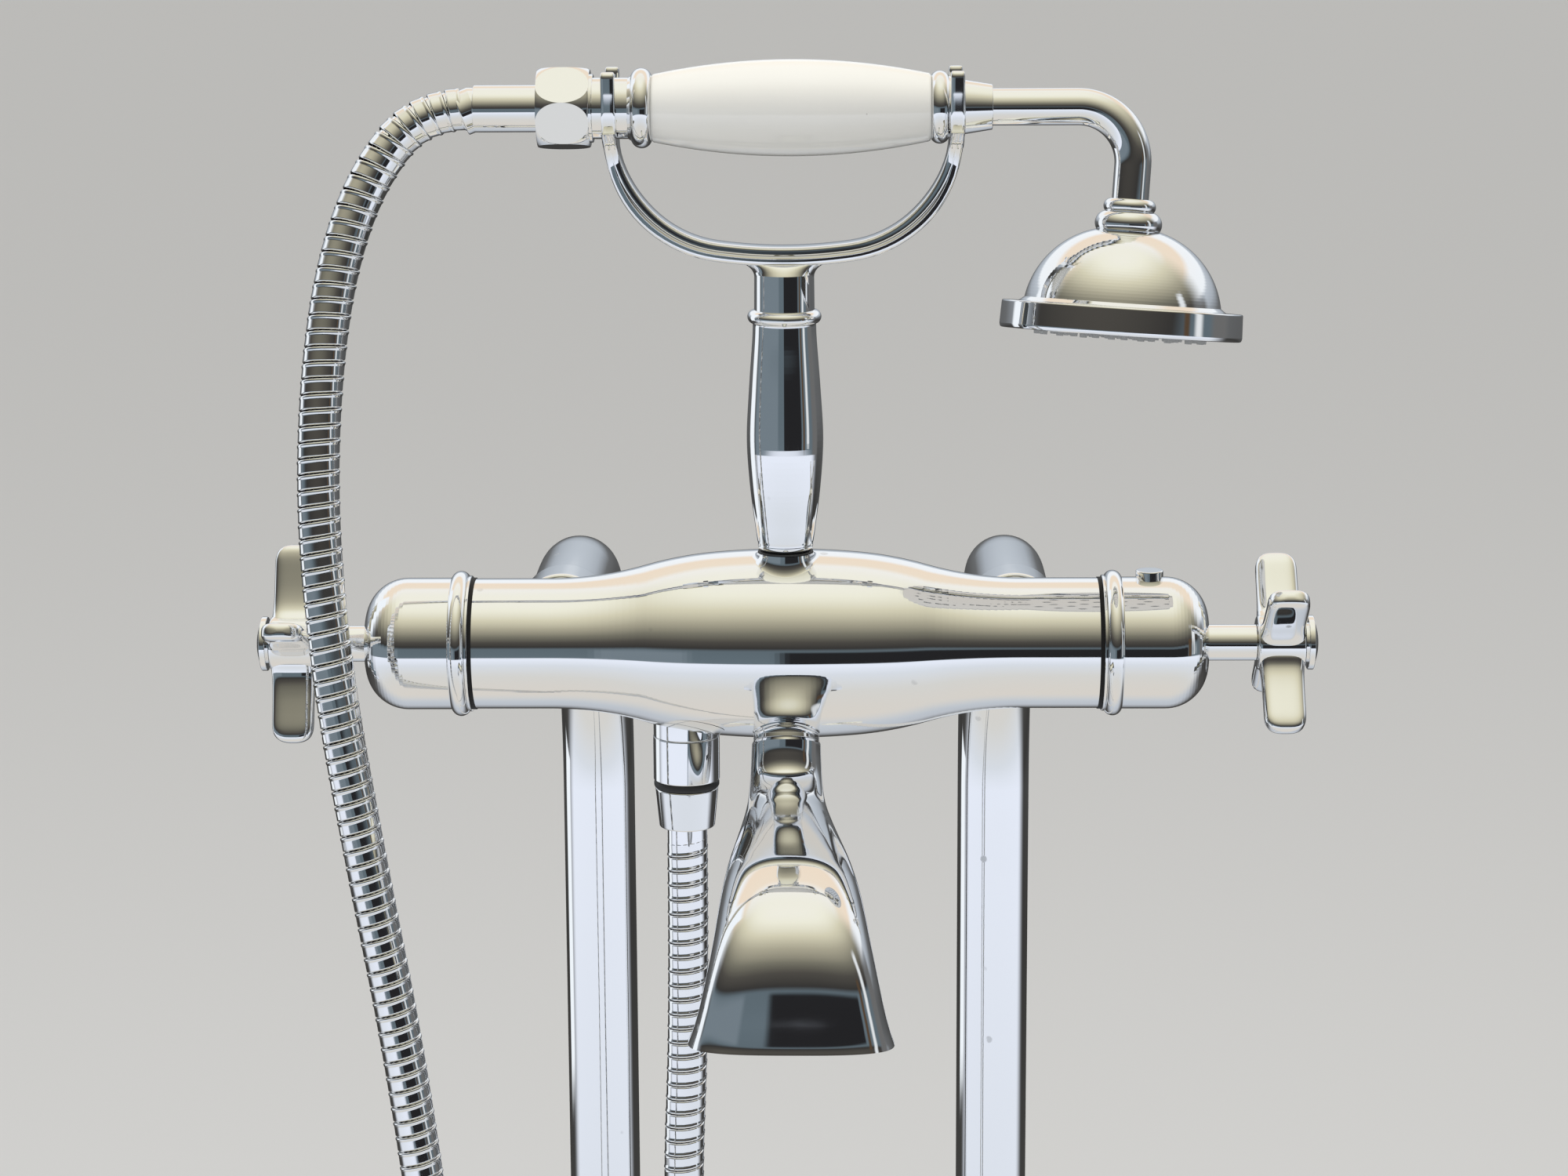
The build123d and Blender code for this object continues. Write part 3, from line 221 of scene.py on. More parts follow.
materials = {
    "chrome": make_chrome("polished_chrome", (0.86, 0.865, 0.87), 0.035, 0.22),
    "hose": make_chrome("hose_chrome", (0.84, 0.845, 0.85), 0.06, 0.10),
    "brass": make_plain("turned_brass", (0.72, 0.56, 0.30), 0.30, 300, 0.00001, 1.0),
    "steel": make_plain("satin_steel", (0.60, 0.60, 0.61), 0.32, 400, 0.00001, 1.0),
    "copper": make_plain("drawn_copper", (0.72, 0.42, 0.28), 0.28, 120, 0.00001, 1.0),
    "rubber": make_plain("black_rubber", (0.025, 0.025, 0.027), 0.55, 700, 0.00002),
    "nozzle_rubber": make_plain("grey_rubber", (0.42, 0.43, 0.44), 0.5, 700, 0.00002),
    "plastic": make_plain("white_plastic", (0.82, 0.82, 0.80), 0.45, 500, 0.00001),
    "black_plastic": make_plain(
        "black_plastic", (0.012, 0.012, 0.013), 0.6, 500, 0.00001, Specular_IOR_Level=0.2
    ),
}

# %% [markdown]
# Porcelain is a matt white body under clear glaze. The glaze is the shader's coat: it gives the
# sharp highlight, while the white beneath stays soft. It varies by a hair in tone, and a few tiny
# dark specks sit under the glaze.

# %% Porcelain
porcelain, tree, shader = finish(
    "white_porcelain", (0.88, 0.88, 0.86), 0.28, Coat_Weight=1.0, Coat_Roughness=0.03, Coat_IOR=1.52
)
tone = noise(tree, 22.0, 2.0)
place = make_node(tree, "TexCoord", output="Object")
speck = make_node(tree, "TexVoronoi", {"feature": "F1"}, {"Vector": place, "Scale": 70.0})
speck = (1 - speck.clamped(0.018, 0.026)) * noise(tree, 40.0, 0.0).clamped(0.5, 0.52)
white = make_node(
    tree,
    "Mix",
    {"data_type": "RGBA"},
    {"Factor": tone, "A": (0.86, 0.86, 0.835, 1), "B": (0.90, 0.90, 0.885, 1)},
    raw=True,
)
spotted = make_node(tree, "Mix", {"data_type": "RGBA"}, {"Factor": speck * 0.6}, raw=True)
tree.links.new(white.outputs["Result"], spotted.inputs["A"])
spotted.inputs["B"].default_value = (0.15, 0.14, 0.13, 1)
tree.links.new(spotted.outputs["Result"], shader.inputs["Base Color"])
bump(tree, shader, noise(tree, 30.0, 1.0), 0.00003)
materials["porcelain"] = porcelain
print("finishes", sorted(materials))

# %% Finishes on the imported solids
for row in frame["record"]["subparts"]:
    node = frame["nodes"][row["node"]]
    node.data.materials.clear()
    node.data.materials.append(materials[row["material_slot"]])

# %% [markdown]
# Most pieces of a mixer are turned on a lathe, so most pieces here are too: an outline of places
# along an axis with their radii, spun round that axis. A Bevel modifier could round the corners
# afterwards, but arcs in the outline give each corner its own radius and keep the rings even. The
# bright line along an eased edge is what shows that it is solid metal.


# %% Outlines
def eased(corners, steps=5):
    """Outline with a small arc at each corner that has a third number, its radius."""
    points = []
    for i, corner in enumerate(corners):
        here = Vector(corner[:2])
        if len(corner) < 3 or i in (0, len(corners) - 1):
            points.append(here)
            continue
        before, after = Vector(corners[i - 1][:2]), Vector(corners[i + 1][:2])
        a, b = (before - here).normalized(), (after - here).normalized()
        half = a.angle(b) / 2
        room = 0.48 * min((before - here).length, (after - here).length)
        reach = min(corner[2] / math.tan(half), room)
        radius = reach * math.tan(half)
        middle = here + (a + b).normalized() * (radius / math.sin(half))
        start, end = here + a * reach - middle, here + b * reach - middle
        for k in range(steps + 1):
            points.append(middle + radius * start.slerp(end, k / steps))
    return points


def bow(start, middle, end, steps=14):
    """Points on the arc through three points."""
    a, b, c = Vector(start), Vector(middle), Vector(end)
    d = 2 * (a.x * (b.y - c.y) + b.x * (c.y - a.y) + c.x * (a.y - b.y))
    sa, sb, sc = a.length_squared, b.length_squared, c.length_squared
    centre = Vector((
        (sa * (b.y - c.y) + sb * (c.y - a.y) + sc * (a.y - b.y)) / d,
        (sa * (c.x - b.x) + sb * (a.x - c.x) + sc * (b.x - a.x)) / d,
    ))
    first = math.atan2(a.y - centre.y, a.x - centre.x)
    mid = (math.atan2(b.y - centre.y, b.x - centre.x) - first) % math.tau
    sweep = (math.atan2(c.y - centre.y, c.x - centre.x) - first) % math.tau
    if mid > sweep:
        sweep -= math.tau
    radius = (a - centre).length
    angles = [first + sweep * k / steps for k in range(steps + 1)]
    return [centre + radius * Vector((math.cos(a), math.sin(a))) for a in angles]


def run(start, heading, moves, steps=12):
    """Path in a plane: each move is a length, or a radius with a turn in degrees."""
    points, here, angle = [Vector(start)], Vector(start), math.radians(heading)
    for move in moves:
        if isinstance(move, (int, float)):
            here = here + move * Vector((math.cos(angle), math.sin(angle)))
            points.append(here)
            continue
        radius, turn_by = move[0], math.radians(move[1])
        side = math.copysign(1, turn_by)
        centre = here + side * radius * Vector((-math.sin(angle), math.cos(angle)))
        for k in range(1, steps + 1):
            a = angle + turn_by * k / steps
            points.append(centre - side * radius * Vector((-math.sin(a), math.cos(a))))
        angle += turn_by
        here = points[-1]
    return points


def smooth_through(points, steps=8):
    """Catmull-Rom curve through points of any dimension."""
    points = [Vector(p) for p in points]
    padded = [2 * points[0] - points[1], *points, 2 * points[-1] - points[-2]]
    curve = []
    for a, b, c, d in zip(padded, padded[1:], padded[2:], padded[3:]):
        for k in range(steps):
            t = k / steps
            curve.append(0.5 * (2 * b + (c - a) * t + (2 * a - 5 * b + 4 * c - d) * t * t
                                + (3 * b - a - 3 * c + d) * t ** 3))
    return curve + [points[-1]]


# %% Meshes from outlines
def add_piece(name, points, faces, finish_name, body, replaced=(), sharp=32):
    """A piece from points in millimetres, shaded smooth but for edges over the sharp angle."""
    mesh = bpy.data.meshes.new(name)
    mesh.from_pydata(metres(points), [], faces)
    mesh.validate()
    piece = bpy.data.objects.new(name, mesh)
    bpy.context.scene.collection.objects.link(piece)
    work = bmesh.new()
    work.from_mesh(mesh)
    bmesh.ops.remove_doubles(work, verts=work.verts, dist=1e-7)
    bmesh.ops.recalc_face_normals(work, faces=work.faces)
    work.to_mesh(mesh)
    work.free()
    mesh.shade_smooth()
    mesh.set_sharp_from_angle(angle=math.radians(sharp))
    mesh.materials.append(materials[finish_name])
    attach(piece, body)
    if replaced:
        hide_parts(*replaced)
    print(name, len(mesh.polygons), "faces")


def supported(outline, near=0.15):
    """Adds a point close to each end of a long straight, which keeps its shading flat."""
    points = [outline[0]]
    for a, b in zip(outline, outline[1:]):
        length = (b - a).length
        if length > 1.0:
            points += [a.lerp(b, near / length), a.lerp(b, 1 - near / length)]
        points.append(b)
    return points


def spun(outline, origin, along, up, around=96):
    """Points and faces of an outline of (place, radius), spun about an axis."""
    side = along.cross(up)
    points, faces, rings = [], [], []
    for place, radius in supported([Vector(p) for p in outline]):
        centre = origin + along * place
        if radius < 1e-6:
            rings.append([len(points)] * around)
            points.append(centre)
            continue
        rings.append(list(range(len(points), len(points) + around)))
        for k in range(around):
            a = math.tau * k / around
            points.append(centre + radius * (up * math.cos(a) + side * math.sin(a)))
    for one, two in zip(rings, rings[1:]):
        for k in range(around):
            n = (k + 1) % around
            corners = [one[k], two[k], two[n], one[n]]
            corners = list(dict.fromkeys(corners))
            if len(corners) > 2:
                faces.append(corners)
    return points, faces


def joined(*parts):
    """Several sets of points and faces as one."""
    points, faces = [], []
    for more, shapes in parts:
        base = len(points)
        points += more
        faces += [[base + i for i in face] for face in shapes]
    return points, faces


def lofted(rings, closed_ends=True):
    """Points and faces through rings that all have the same number of points."""
    count = len(rings[0])
    points = [p for ring in rings for p in ring]
    faces = []
    for r in range(len(rings) - 1):
        for k in range(count):
            n = (k + 1) % count
            faces.append([r * count + k, (r + 1) * count + k, (r + 1) * count + n, r * count + n])
    if closed_ends:
        faces.append(list(range(count)))
        faces.append(list(range(len(points) - count, len(points)))[::-1])
    return points, faces


def swept(path, section, normal):
    """Rings of a flat section carried along a path whose bends keep one normal."""
    rings = []
    for i, here in enumerate(path):
        ahead = path[min(i + 1, len(path) - 1)] - path[max(i - 1, 0)]
        side = ahead.normalized().cross(normal)
        rings.append([here + side * u + normal * v for u, v in section])
    return rings


def round_section(radius, count=48):
    """Closed circle of points."""
    return [(radius * math.cos(math.tau * k / count), radius * math.sin(math.tau * k / count))
            for k in range(count)]


# %% [markdown]
# The mixer body is a barrel with a soft belly. Its outline is one crown arc, a steeper shoulder
# and a valley that runs out into the straight ends, mirrored about the middle. Arcs are used, not
# a free curve, because a lathe hand makes arcs and chrome shows any wobble. The same outline tells
# how far out the metal is at any place, which the bosses need.

# %% Mixer body
BELLY_R, END_R, END_X = 30.5, 21.0, 100.3
crown_and_shoulder = [(260, -5), (120, -11)]
drop = run((0, BELLY_R), 0, crown_and_shoulder, 14)[-1].y - END_R
valley_radius = drop / (1 - math.cos(math.radians(16)))
half_barrel = run((0, BELLY_R), 0, crown_and_shoulder + [(valley_radius, 16)], 14)


def barrel_radius(x):
    """Radius of the body at a place along it."""
    x = abs(x)
    for a, b in zip(half_barrel, half_barrel[1:]):
        if a.x <= x <= b.x:
            return a.y + (b.y - a.y) * (x - a.x) / (b.x - a.x)
    return END_R


half = half_barrel + eased([half_barrel[-1], (END_X, END_R, 0.35), (END_X, 15.0)])[1:]
whole = [Vector((-p.x, p.y)) for p in reversed(half)] + half[1:]
barrel = spun(whole, BODY, X, Z, 160)
print("barrel radius at the middle and the end", BELLY_R, round(barrel_radius(END_X), 2))


def rounded(half_width, half_depth, power, count=48):
    """Closed section between an oval (power 2) and a rectangle (high powers)."""
    ring = []
    for k in range(count):
        a = math.tau * (k + 0.5) / count
        c, s = math.cos(a), math.sin(a)
        radius = (abs(c / half_width) ** power + abs(s / half_depth) ** power) ** (-1 / power)
        ring.append((radius * c, radius * s))
    return ring


def saddle(centre, outward, up, top, flare, steps=12, count=96):
    """Concave skirt from a round neck to the barrel; flare is the foot's half width and depth."""
    side = outward.cross(up)
    rings = []
    necks, feet = rounded(top, top, 2.0, count), rounded(*flare, 2.0, count)
    for s in range(steps + 1):
        ring = []
        for k in range(count):
            neck = centre + side * necks[k][0] + up * necks[k][1]
            foot = centre + side * feet[k][0] + up * feet[k][1]
            # drop the foot onto the barrel along the neck's direction
            low, high = -5.0, 60.0
            for _ in range(30):
                middle = (low + high) / 2
                p = foot - outward * middle - BODY
                inside = math.hypot(p.y, p.z) < barrel_radius(p.x)
                low, high = (low, middle) if inside else (middle, high)
            foot = foot - outward * (low + 0.04)
            t = s / steps
            across = 1 - math.cos(t * math.pi / 2)
            down = math.sin(t * math.pi / 2)
            straight = neck - outward * (neck - foot).dot(outward)
            ring.append(neck + (straight - neck) * down + (foot - straight) * across)
        rings.append(ring)
    return lofted(rings, closed_ends=False)


spout_down = Vector((0, -0.3746, -0.9272))
spout_front = spout_down.cross(X)
spout_neck = BODY + spout_down * 31.8
spout_boss = saddle(spout_neck - spout_down * 1.2, spout_down, spout_front, 10.3, (10.9, 10.9))
rim_outline = eased([(-1.6, 10.0), (-1.6, 10.55, 0.15), (-0.15, 10.55, 0.15), (-0.15, 9.6)])
boss_rim = spun(rim_outline, spout_neck, spout_down, X)
column_saddle = saddle(COLUMN + Z * 31.4, Z, Y, 8.9, (11.2, 11.2))
outlet_axis = BODY + X * -32.6
outlet_boss = spun(eased([(-14, 10.6), (-30.4, 10.6, 0.3), (-30.4, 6)]), outlet_axis, Z, Y)
INLETS = ((-75, "left"), (75, "right"))
inlet_outline = eased([(14, 12.5), (44, 12.5, 0.4), (44, 8)])
inlet_bosses = [spun(inlet_outline, BODY + X * x, Y, Z) for x, name in INLETS]
add_piece(
    "body_barrel",
    *joined(barrel, spout_boss, boss_rim, column_saddle, outlet_boss, *inlet_bosses),
    "chrome",
    "mixer",
    ["mixer_body"],
)

# %% [markdown]
# Left and right ends are turned the same way and mirrored: a thimble-shaped shroud with a thin
# lip, a half-round ring behind the lip, a black plastic ring brought out to the surface in the
# narrow opening before it, as painted shade for the shadow there, the stem, and the domed
# disc that hides the handle's screw.


# %% Shrouds, rings and stems
def end_pieces(side, name, body):
    """Everything turned at one end of the body; side is -1 for left and 1 for right."""
    start = 101.1
    along = X * side
    skin = eased([(start, 18.9), (start, 21.9, 0.3), (start + 0.9, 21.9, 0.2), (start + 0.9, 21.2)])
    nose = run((121.7, 21.2), 0, [(13.6, -90)], 18)
    shroud = skin + nose + eased([nose[-1], (135.3, 6.2, 0.25), (134.6, 5.85)])[1:]
    add_piece(f"{name}_cap", *spun(shroud, BODY, along, Z, 128), "chrome", body, [f"{name}_shroud"])
    ring = [Vector((start + 0.9, 21.2)), Vector((start + 0.95, 21.6))]
    ring += bow((start + 1.0, 21.7), (start + 3.7, 23.4), (start + 6.3, 21.7), 18)
    ring += [Vector((start + 6.35, 21.6)), Vector((start + 6.4, 21.2))]
    add_piece(f"{name}_ring", *spun(ring, BODY, along, Z, 128), "chrome", body, [f"{name}_bead_ring"])
    # black plastic slip ring, brought out to the surface: its black face is painted shade standing for
    # the shadow between shroud and barrel
    gap_shade_ring = [(99.8, 19.0), (99.8, 21.25), (101.2, 21.25), (101.2, 19.0)]
    add_piece(
        f"{name}_gap", *spun(gap_shade_ring, BODY, along, Z, 128), "black_plastic", "mixer", [f"{name}_slip_ring"]
    )
    stem = eased([(121.5, 5.8), (150.9, 5.8, 0.2), (150.9, 4.0)])
    add_piece(f"{name}_sleeve", *spun(stem, BODY, along, Z, 64), "chrome", body, [f"{name}_stem"])
    disc = eased([
        (163.1, 0), (163.1, 3.9), (166.5, 3.9), (166.5, 6.4), (167.3, 6.4), (167.3, 8.75, 0.3),
        (169.2, 8.75, 0.3), (169.2, 7.75),
    ])
    disc += bow((169.2, 7.75), (170.4, 3.9), (170.8, 0.0))[1:]
    add_piece(f"{name}_disc", *spun(disc, BODY, along, Z, 64), "chrome", body, [f"{name}_index_disc"])


for side, name, body in ((-1, "flow", "flow_control"), (1, "temperature", "temperature_control")):
    end_pieces(side, name, body)

button_outline = eased([(15.2, 4.4), (23.8, 4.4, 0.35), (23.8, 0)])
button = spun(button_outline, BODY + X * 116.4, Z, Y, 48)
add_piece("button_cap", *button, "chrome", "button", ["safety_button"])

# %% [markdown]
# The cross handle is a casting with four arms. Each arm is a row of rounded rectangles from the
# hub to a domed tip: thick where it grows out of the hub, then a flat bar with soft edges. Bevelled
# boxes would do for the bars, but not for the swelling at the root. The two handles stand at
# different turns, as they were left.


# %% Cross handles
# distance from the stem, half width across the stem, half width along it
arm_rows = [
    (5.0, 5.6, 7.4), (7.4, 5.0, 7.35), (8.8, 4.3, 7.2), (10.4, 3.65, 7.0), (13.0, 3.2, 6.85),
    (17.0, 3.0, 6.75), (22.0, 3.0, 6.7), (26.5, 3.05, 6.65), (28.6, 3.0, 6.35), (30.2, 2.8, 5.6),
    (31.3, 2.35, 4.4), (31.9, 1.6, 2.9), (32.2, 0.6, 1.3),
]


def make_handle(side, name, lean, body):
    """Hub and arms; lean is the first arm's turn from upright, in degrees."""
    middle = BODY + X * side * 158.75
    arms = []
    for k in range(4):
        a = math.radians(lean) - k * math.pi / 2
        out = Z * math.cos(a) - Y * math.sin(a)
        rings = []
        for distance, wide, thick in smooth_through(arm_rows, 3):
            section = rounded(wide, thick, 3.6)
            rings.append([middle + out * distance + X.cross(out) * u + X * v for u, v in section])
        arms.append(lofted(rings))
    outline = eased([(151, 4.05), (151, 8.9, 1.2), (166.4, 8.9, 1.2), (166.4, 4.05)])
    hub = spun(outline, BODY, X * side, Z, 96)
    add_piece(f"{name}_cross", *joined(hub, *arms), "chrome", body, [f"{name}_handle"], 50)


make_handle(-1, "flow", -20, "flow_control")
make_handle(1, "temperature", -40, "temperature_control")

# %% [markdown]
# The cradle is a turned baluster that carries a bar bent to a wide U. The bar is flat in front
# and behind, with a groove worked along it, and each end opens into a fork for the handset. The
# groove is part of the section, so it follows the bends by itself and needs no cutting.

# %% Cradle column
column = [Vector((32.0, 4.0))]
column += bow((32.0, 7.1), (32.7, 8.3), (34.4, 8.7), 8)
column += smooth_through([
    (34.4, 8.8), (40, 9.6), (53, 11.2), (68, 12.1), (84, 11.3), (99, 10.2), (104.6, 9.95),
])[1:]
column += bow((104.8, 10.0), (106.9, 11.65), (109.0, 9.75), 16)
column += [Vector((109.1, 9.5)), Vector((120.4, 9.4))]
add_piece("column_turned", *spun(column, COLUMN, Z, Y, 96), "chrome", "mixer", ["cradle_column"])
seal = eased([(31.4, 4.05), (31.4, 8.8, 0.2), (32.0, 8.8, 0.2), (32.0, 4.05)])
add_piece("column_seal", *spun(seal, COLUMN, Z, Y, 64), "rubber", "mixer", ["cradle_seal"])

# %% Cradle yoke
corner_r, bottom_r, yoke_half = 38.0, 150.0, 53.8
lean = math.degrees(math.asin((yoke_half - corner_r) / (bottom_r - corner_r)))
corner_z = 126.1 + bottom_r - (bottom_r - corner_r) * math.cos(math.radians(lean))
corner = (corner_r, 90 - lean)
flat_path = run((-yoke_half, corner_z), -90, [corner, (bottom_r, 2 * lean), corner], 20)
yoke_path = [COLUMN + X * p.x + Z * p.y for p in flat_path]


def bar_section(thick, depth, edge, groove, groove_depth):
    """Half-rounded bar with a groove along its front and its back."""
    wide, deep, slot = thick / 2, depth / 2, groove / 2
    quarter = eased([(wide, 0), (wide, deep, edge), (slot, deep)])[1:]
    quarter += [Vector((slot * 0.8, deep - groove_depth * 0.7)), Vector((0, deep - groove_depth))]
    left = [Vector((-p.x, p.y)) for p in reversed(quarter[:-1])]
    upper = quarter + left
    lower = [Vector((-p.x, -p.y)) for p in upper]
    return [tuple(p) for p in upper + lower]


def bar_rings():
    """The bar's sections; near each fork it narrows, deepens and loses its groove."""
    rings = []
    sections = swept(yoke_path, [(1, 0)], Y)
    for i, here in enumerate(yoke_path):
        side = sections[i][0] - here
        rise = here.z - HAND.z
        near = min(max((rise + 34) / 22, 0), 1)
        near = near * near * (3 - 2 * near)
        depth = 5.5 if rise < -17 else 15.5 - math.sqrt(max(100 - (rise + 17) ** 2, 1))
        groove = 1.6 - 1.2 * near
        section = bar_section(
            5.8 - 1.4 * near, 2 * depth, 2.2 - 0.4 * near, groove, 1.0 - near * 0.98
        )
        rings.append([here + side * u + Y * v for u, v in section])
    return rings


start_z = corner_z + COLUMN.z
top_z = HAND.z - 10.2
heights = [top_z - (top_z - start_z) * k / 14 for k in range(14)]
rise_points = [COLUMN + X * -yoke_half + Z * (z - COLUMN.z) for z in heights]
yoke_path = rise_points + yoke_path + [Vector((-p.x, p.y, p.z)) for p in reversed(rise_points)]
bar = lofted(bar_rings())
print("stations along the yoke", len(yoke_path))


def make_fork(x):
    """Fork plate: a soft-edged section carried from one prong's tip round to the other's."""
    # height on the prong, inner and outer edge, half thickness
    tip = [
        (12.0, 11.3, 12.2, 1.4), (11.9, 10.8, 12.8, 1.85), (11.5, 10.4, 13.35, 2.1),
        (10.8, 10.2, 13.75, 2.18), (9.8, 10.1, 13.8, 2.2), (5.0, 9.9, 13.4, 2.2),
    ]
    stations = [(Y, h, a, b, t) for h, a, b, t in tip]
    for k in range(33):
        angle = math.pi * k / 32
        stations.append((Y * math.cos(angle) - Z * math.sin(angle), 0.0, 9.7, 13.0, 2.2))
    stations += [(-Y, h, a, b, t) for h, a, b, t in reversed(tip)]
    rings = []
    for out, height, inner, outer, thick in stations:
        middle = HAND + X * x + Z * height + out * (inner + outer) / 2
        section = rounded((outer - inner) / 2, thick, 5.0, 40)
        rings.append([middle + out * u + X * v for u, v in section])
    return lofted(rings)


def flare(centre, radius, top, rise, count=64, steps=10):
    """Concave collar from a round neck up to a wide oval under the bar."""
    rings = []
    for s in range(steps + 1):
        t = s / steps
        rx = radius + (top[0] - radius) * (1 - math.cos(t * math.pi / 2))
        ry = radius + (top[1] - radius) * t
        middle = centre + Z * rise * math.sin(t * math.pi / 2)
        angles = [math.tau * k / count for k in range(count)]
        rings.append([middle + X * rx * math.cos(a) + Y * ry * math.sin(a) for a in angles])
    return lofted(rings, closed_ends=False)


pad = flare(COLUMN + Z * 119.4, 9.4, (15.5, 5.3), 4.6)
add_piece(
    "yoke_bar",
    *joined(bar, make_fork(-yoke_half), make_fork(yoke_half), pad),
    "chrome",
    "mixer",
    ["cradle_yoke", "left_fork", "right_fork"],
)

# %% [markdown]
# The handset is a row of turned pieces on one axis: the hose's ferrule, a hexagon nut, a neck with
# its bead, the porcelain grip, a second bead and neck, and a tapered sleeve. The hose ends in a
# collar that points the way the hose leaves.


# %% Handset, turned pieces
HOSE_START = -96.3


def hand_piece(name, outline, finish_name, body, replaced, around=96):
    """A turned piece on the handset's axis."""
    add_piece(name, *spun(outline, HAND, X, HAND_UP, around), finish_name, body, replaced)


ferrule = eased([
    (HOSE_START, 4.2), (HOSE_START, 7.3, 0.4), (-76.0, 7.3), (-73.7, 7.3), (-73.7, 9.3), (-70.7, 9.3),
])
hand_piece("ferrule_sleeve", ferrule, "chrome", "hose_end", ["upper_ferrule"])
leaving = Vector((-0.925, -0.096, -0.368)).normalized()
collar = eased([(-3.2, 5.7), (-0.4, 6.95, 0.3), (4.4, 6.95, 0.4), (4.4, 6.0)])
beside = leaving.cross(Z).normalized()
add_piece(
    "hose_collar", *spun(collar, HAND + X * HOSE_START, leaving, beside), "chrome", "hose_end"
)
inlet = eased([(-68.7, 9.5), (-48.2, 9.5, 0.3), (-47.3, 10.1)])
hand_piece("neck_left", inlet, "chrome", "handset", ["handset_inlet"])
bead = bow((-47.3, 10.1), (-44.1, 12.4), (-40.9, 10.1), 20) + [Vector((-40.9, 9.1))]
hand_piece("bead_left", bead, "chrome", "handset", ["left_bead"])
bead = [Vector((45.8, 9.1))] + bow((45.8, 9.7), (48.5, 11.3), (51.3, 9.7), 18)
hand_piece("bead_right", bead, "chrome", "handset", ["right_bead"])
outlet = eased([
    (51.3, 9.7), (52.0, 9.5, 0.3), (56.3, 9.5, 0.4), (56.3, 8.4, 0.1), (64.9, 7.0, 0.3), (64.9, 5.75),
])
hand_piece("neck_right", outlet, "chrome", "handset", ["handset_outlet"])
grip = [Vector((-40.9, 6.8)), Vector((-40.9, 10.0)), Vector((-40.6, 10.4))]
grip += bow((-40.3, 10.55), (2.45, 15.0), (45.2, 10.55), 40)
grip += [Vector((45.5, 10.4)), Vector((45.8, 10.0)), Vector((45.8, 6.8))]
hand_piece("grip_glazed", grip, "porcelain", "handset", ["porcelain_grip"], 128)

# %% [markdown]
# The hexagon nut has been turned round after its six flats were milled, so each flat ends in an
# oval. Every ring of points therefore has its corners where flat and turned surface meet.

# %% Hexagon nut
NUT_TURN, NUT_HALF, NUT_MIDDLE = math.radians(42), 8.15, -68.15
FLAT_R, TURNED_END_R, TURNED_BELLY_R, NUT_RIM_R = 11.9, 11.95, 13.75, 10.6
NUT_STEPS = 24
nut = []
for k in range(NUT_STEPS + 1):
    t = -math.cos(math.pi * k / NUT_STEPS)
    bulge = (TURNED_BELLY_R**2 - TURNED_END_R**2) * (1 - t * t) ** 0.9
    limit = math.sqrt(TURNED_END_R**2 + bulge)
    flat = math.acos(min(FLAT_R / limit, 1))
    ring = []
    for n in range(6):
        middle = n * math.pi / 3 + NUT_TURN
        for j in range(8):
            a = -flat + 2 * flat * j / 8
            ring.append((middle + a, FLAT_R / math.cos(a)))
        for j in range(6):
            ring.append((middle + flat + (math.pi / 3 - 2 * flat) * j / 6, limit))
    nut.append(ring)
nut = [[(a, NUT_RIM_R) for a, r in nut[0]], *nut, [(a, NUT_RIM_R) for a, r in nut[-1]]]
places = [-NUT_HALF * math.cos(math.pi * k / NUT_STEPS) for k in range(NUT_STEPS + 1)]
places = [-NUT_HALF - 0.12] + places + [NUT_HALF + 0.12]
nut_rings = [
    [HAND + X * (place + NUT_MIDDLE) + r * (Z * math.sin(a) - Y * math.cos(a)) for a, r in ring]
    for place, ring in zip(places, nut)
]
rim = spun(eased([(-60.2, NUT_RIM_R), (-59.0, NUT_RIM_R, 0.3), (-59.0, 9.5)]), HAND, X, Z)
add_piece("hexagon_cut", *joined(lofted(nut_rings), rim), "chrome", "handset", ["hexagon_nut"], 8)

# %% [markdown]
# The gooseneck is a tube bent once, a little past square. The rose hangs from it: two beads, then
# a spun dome that runs out into a flat brim with a soft rim.

# %% Gooseneck and rose
goose_flat = run((56.0, 0), 0, [35.5, (17.0, -94), 13.8], 24)
goose_path = [HAND + X * p.x + HAND_UP * p.y for p in goose_flat]
goose_normal = X.cross(HAND_UP)
goose_rings = swept(goose_path, round_section(5.75), goose_normal)
add_piece("gooseneck_tube", *lofted(goose_rings), "chrome", "handset", ["gooseneck"])

rose_down = (goose_path[-1] - goose_path[-2]).normalized()
neck_end = run((56.0, 0), 0, [35.5, (17.0, -94), 10.2], 24)[-1]
collar_top = HAND + X * neck_end.x + HAND_UP * neck_end.y
UPPER_BEAD, LOWER_BEAD, BELL = 3.6, 6.8, 27.6
rose_centre = collar_top + rose_down * (UPPER_BEAD + LOWER_BEAD + BELL)
rose_up = -rose_down
rose_front = rose_up.cross(X).normalized()
beads = bow((27.4, 9.4), (30.2, 10.45), (33.9, 7.6), 20)
beads += bow((33.9, 7.6), (35.6, 8.15), (37.7, 6.5), 14)[1:] + [Vector((37.7, 5.8))]
turned = spun(beads, rose_centre, rose_up, rose_front)
add_piece("rose_beads", *turned, "chrome", "handset", ["rose_collar"])
dome = bow((5.6, 30.6), (20.7, 22.7), (28.2, 9.2), 32)
bell = [Vector((-4.3, 35.65)), Vector((-4.3, 37.1)), Vector((-4.1, 37.5)), Vector((-3.6, 37.7))]
bell += eased([(-3.6, 37.7), (-3.0, 37.8, 0.6), (4.3, 37.5, 0.5), (4.4, 32.2, 1.2), tuple(dome[0])])[1:]
bell += dome[1:]
turned = spun(bell, rose_centre, rose_up, rose_front, 128)
add_piece("rose_dome", *turned, "chrome", "handset", ["rose_bell"])
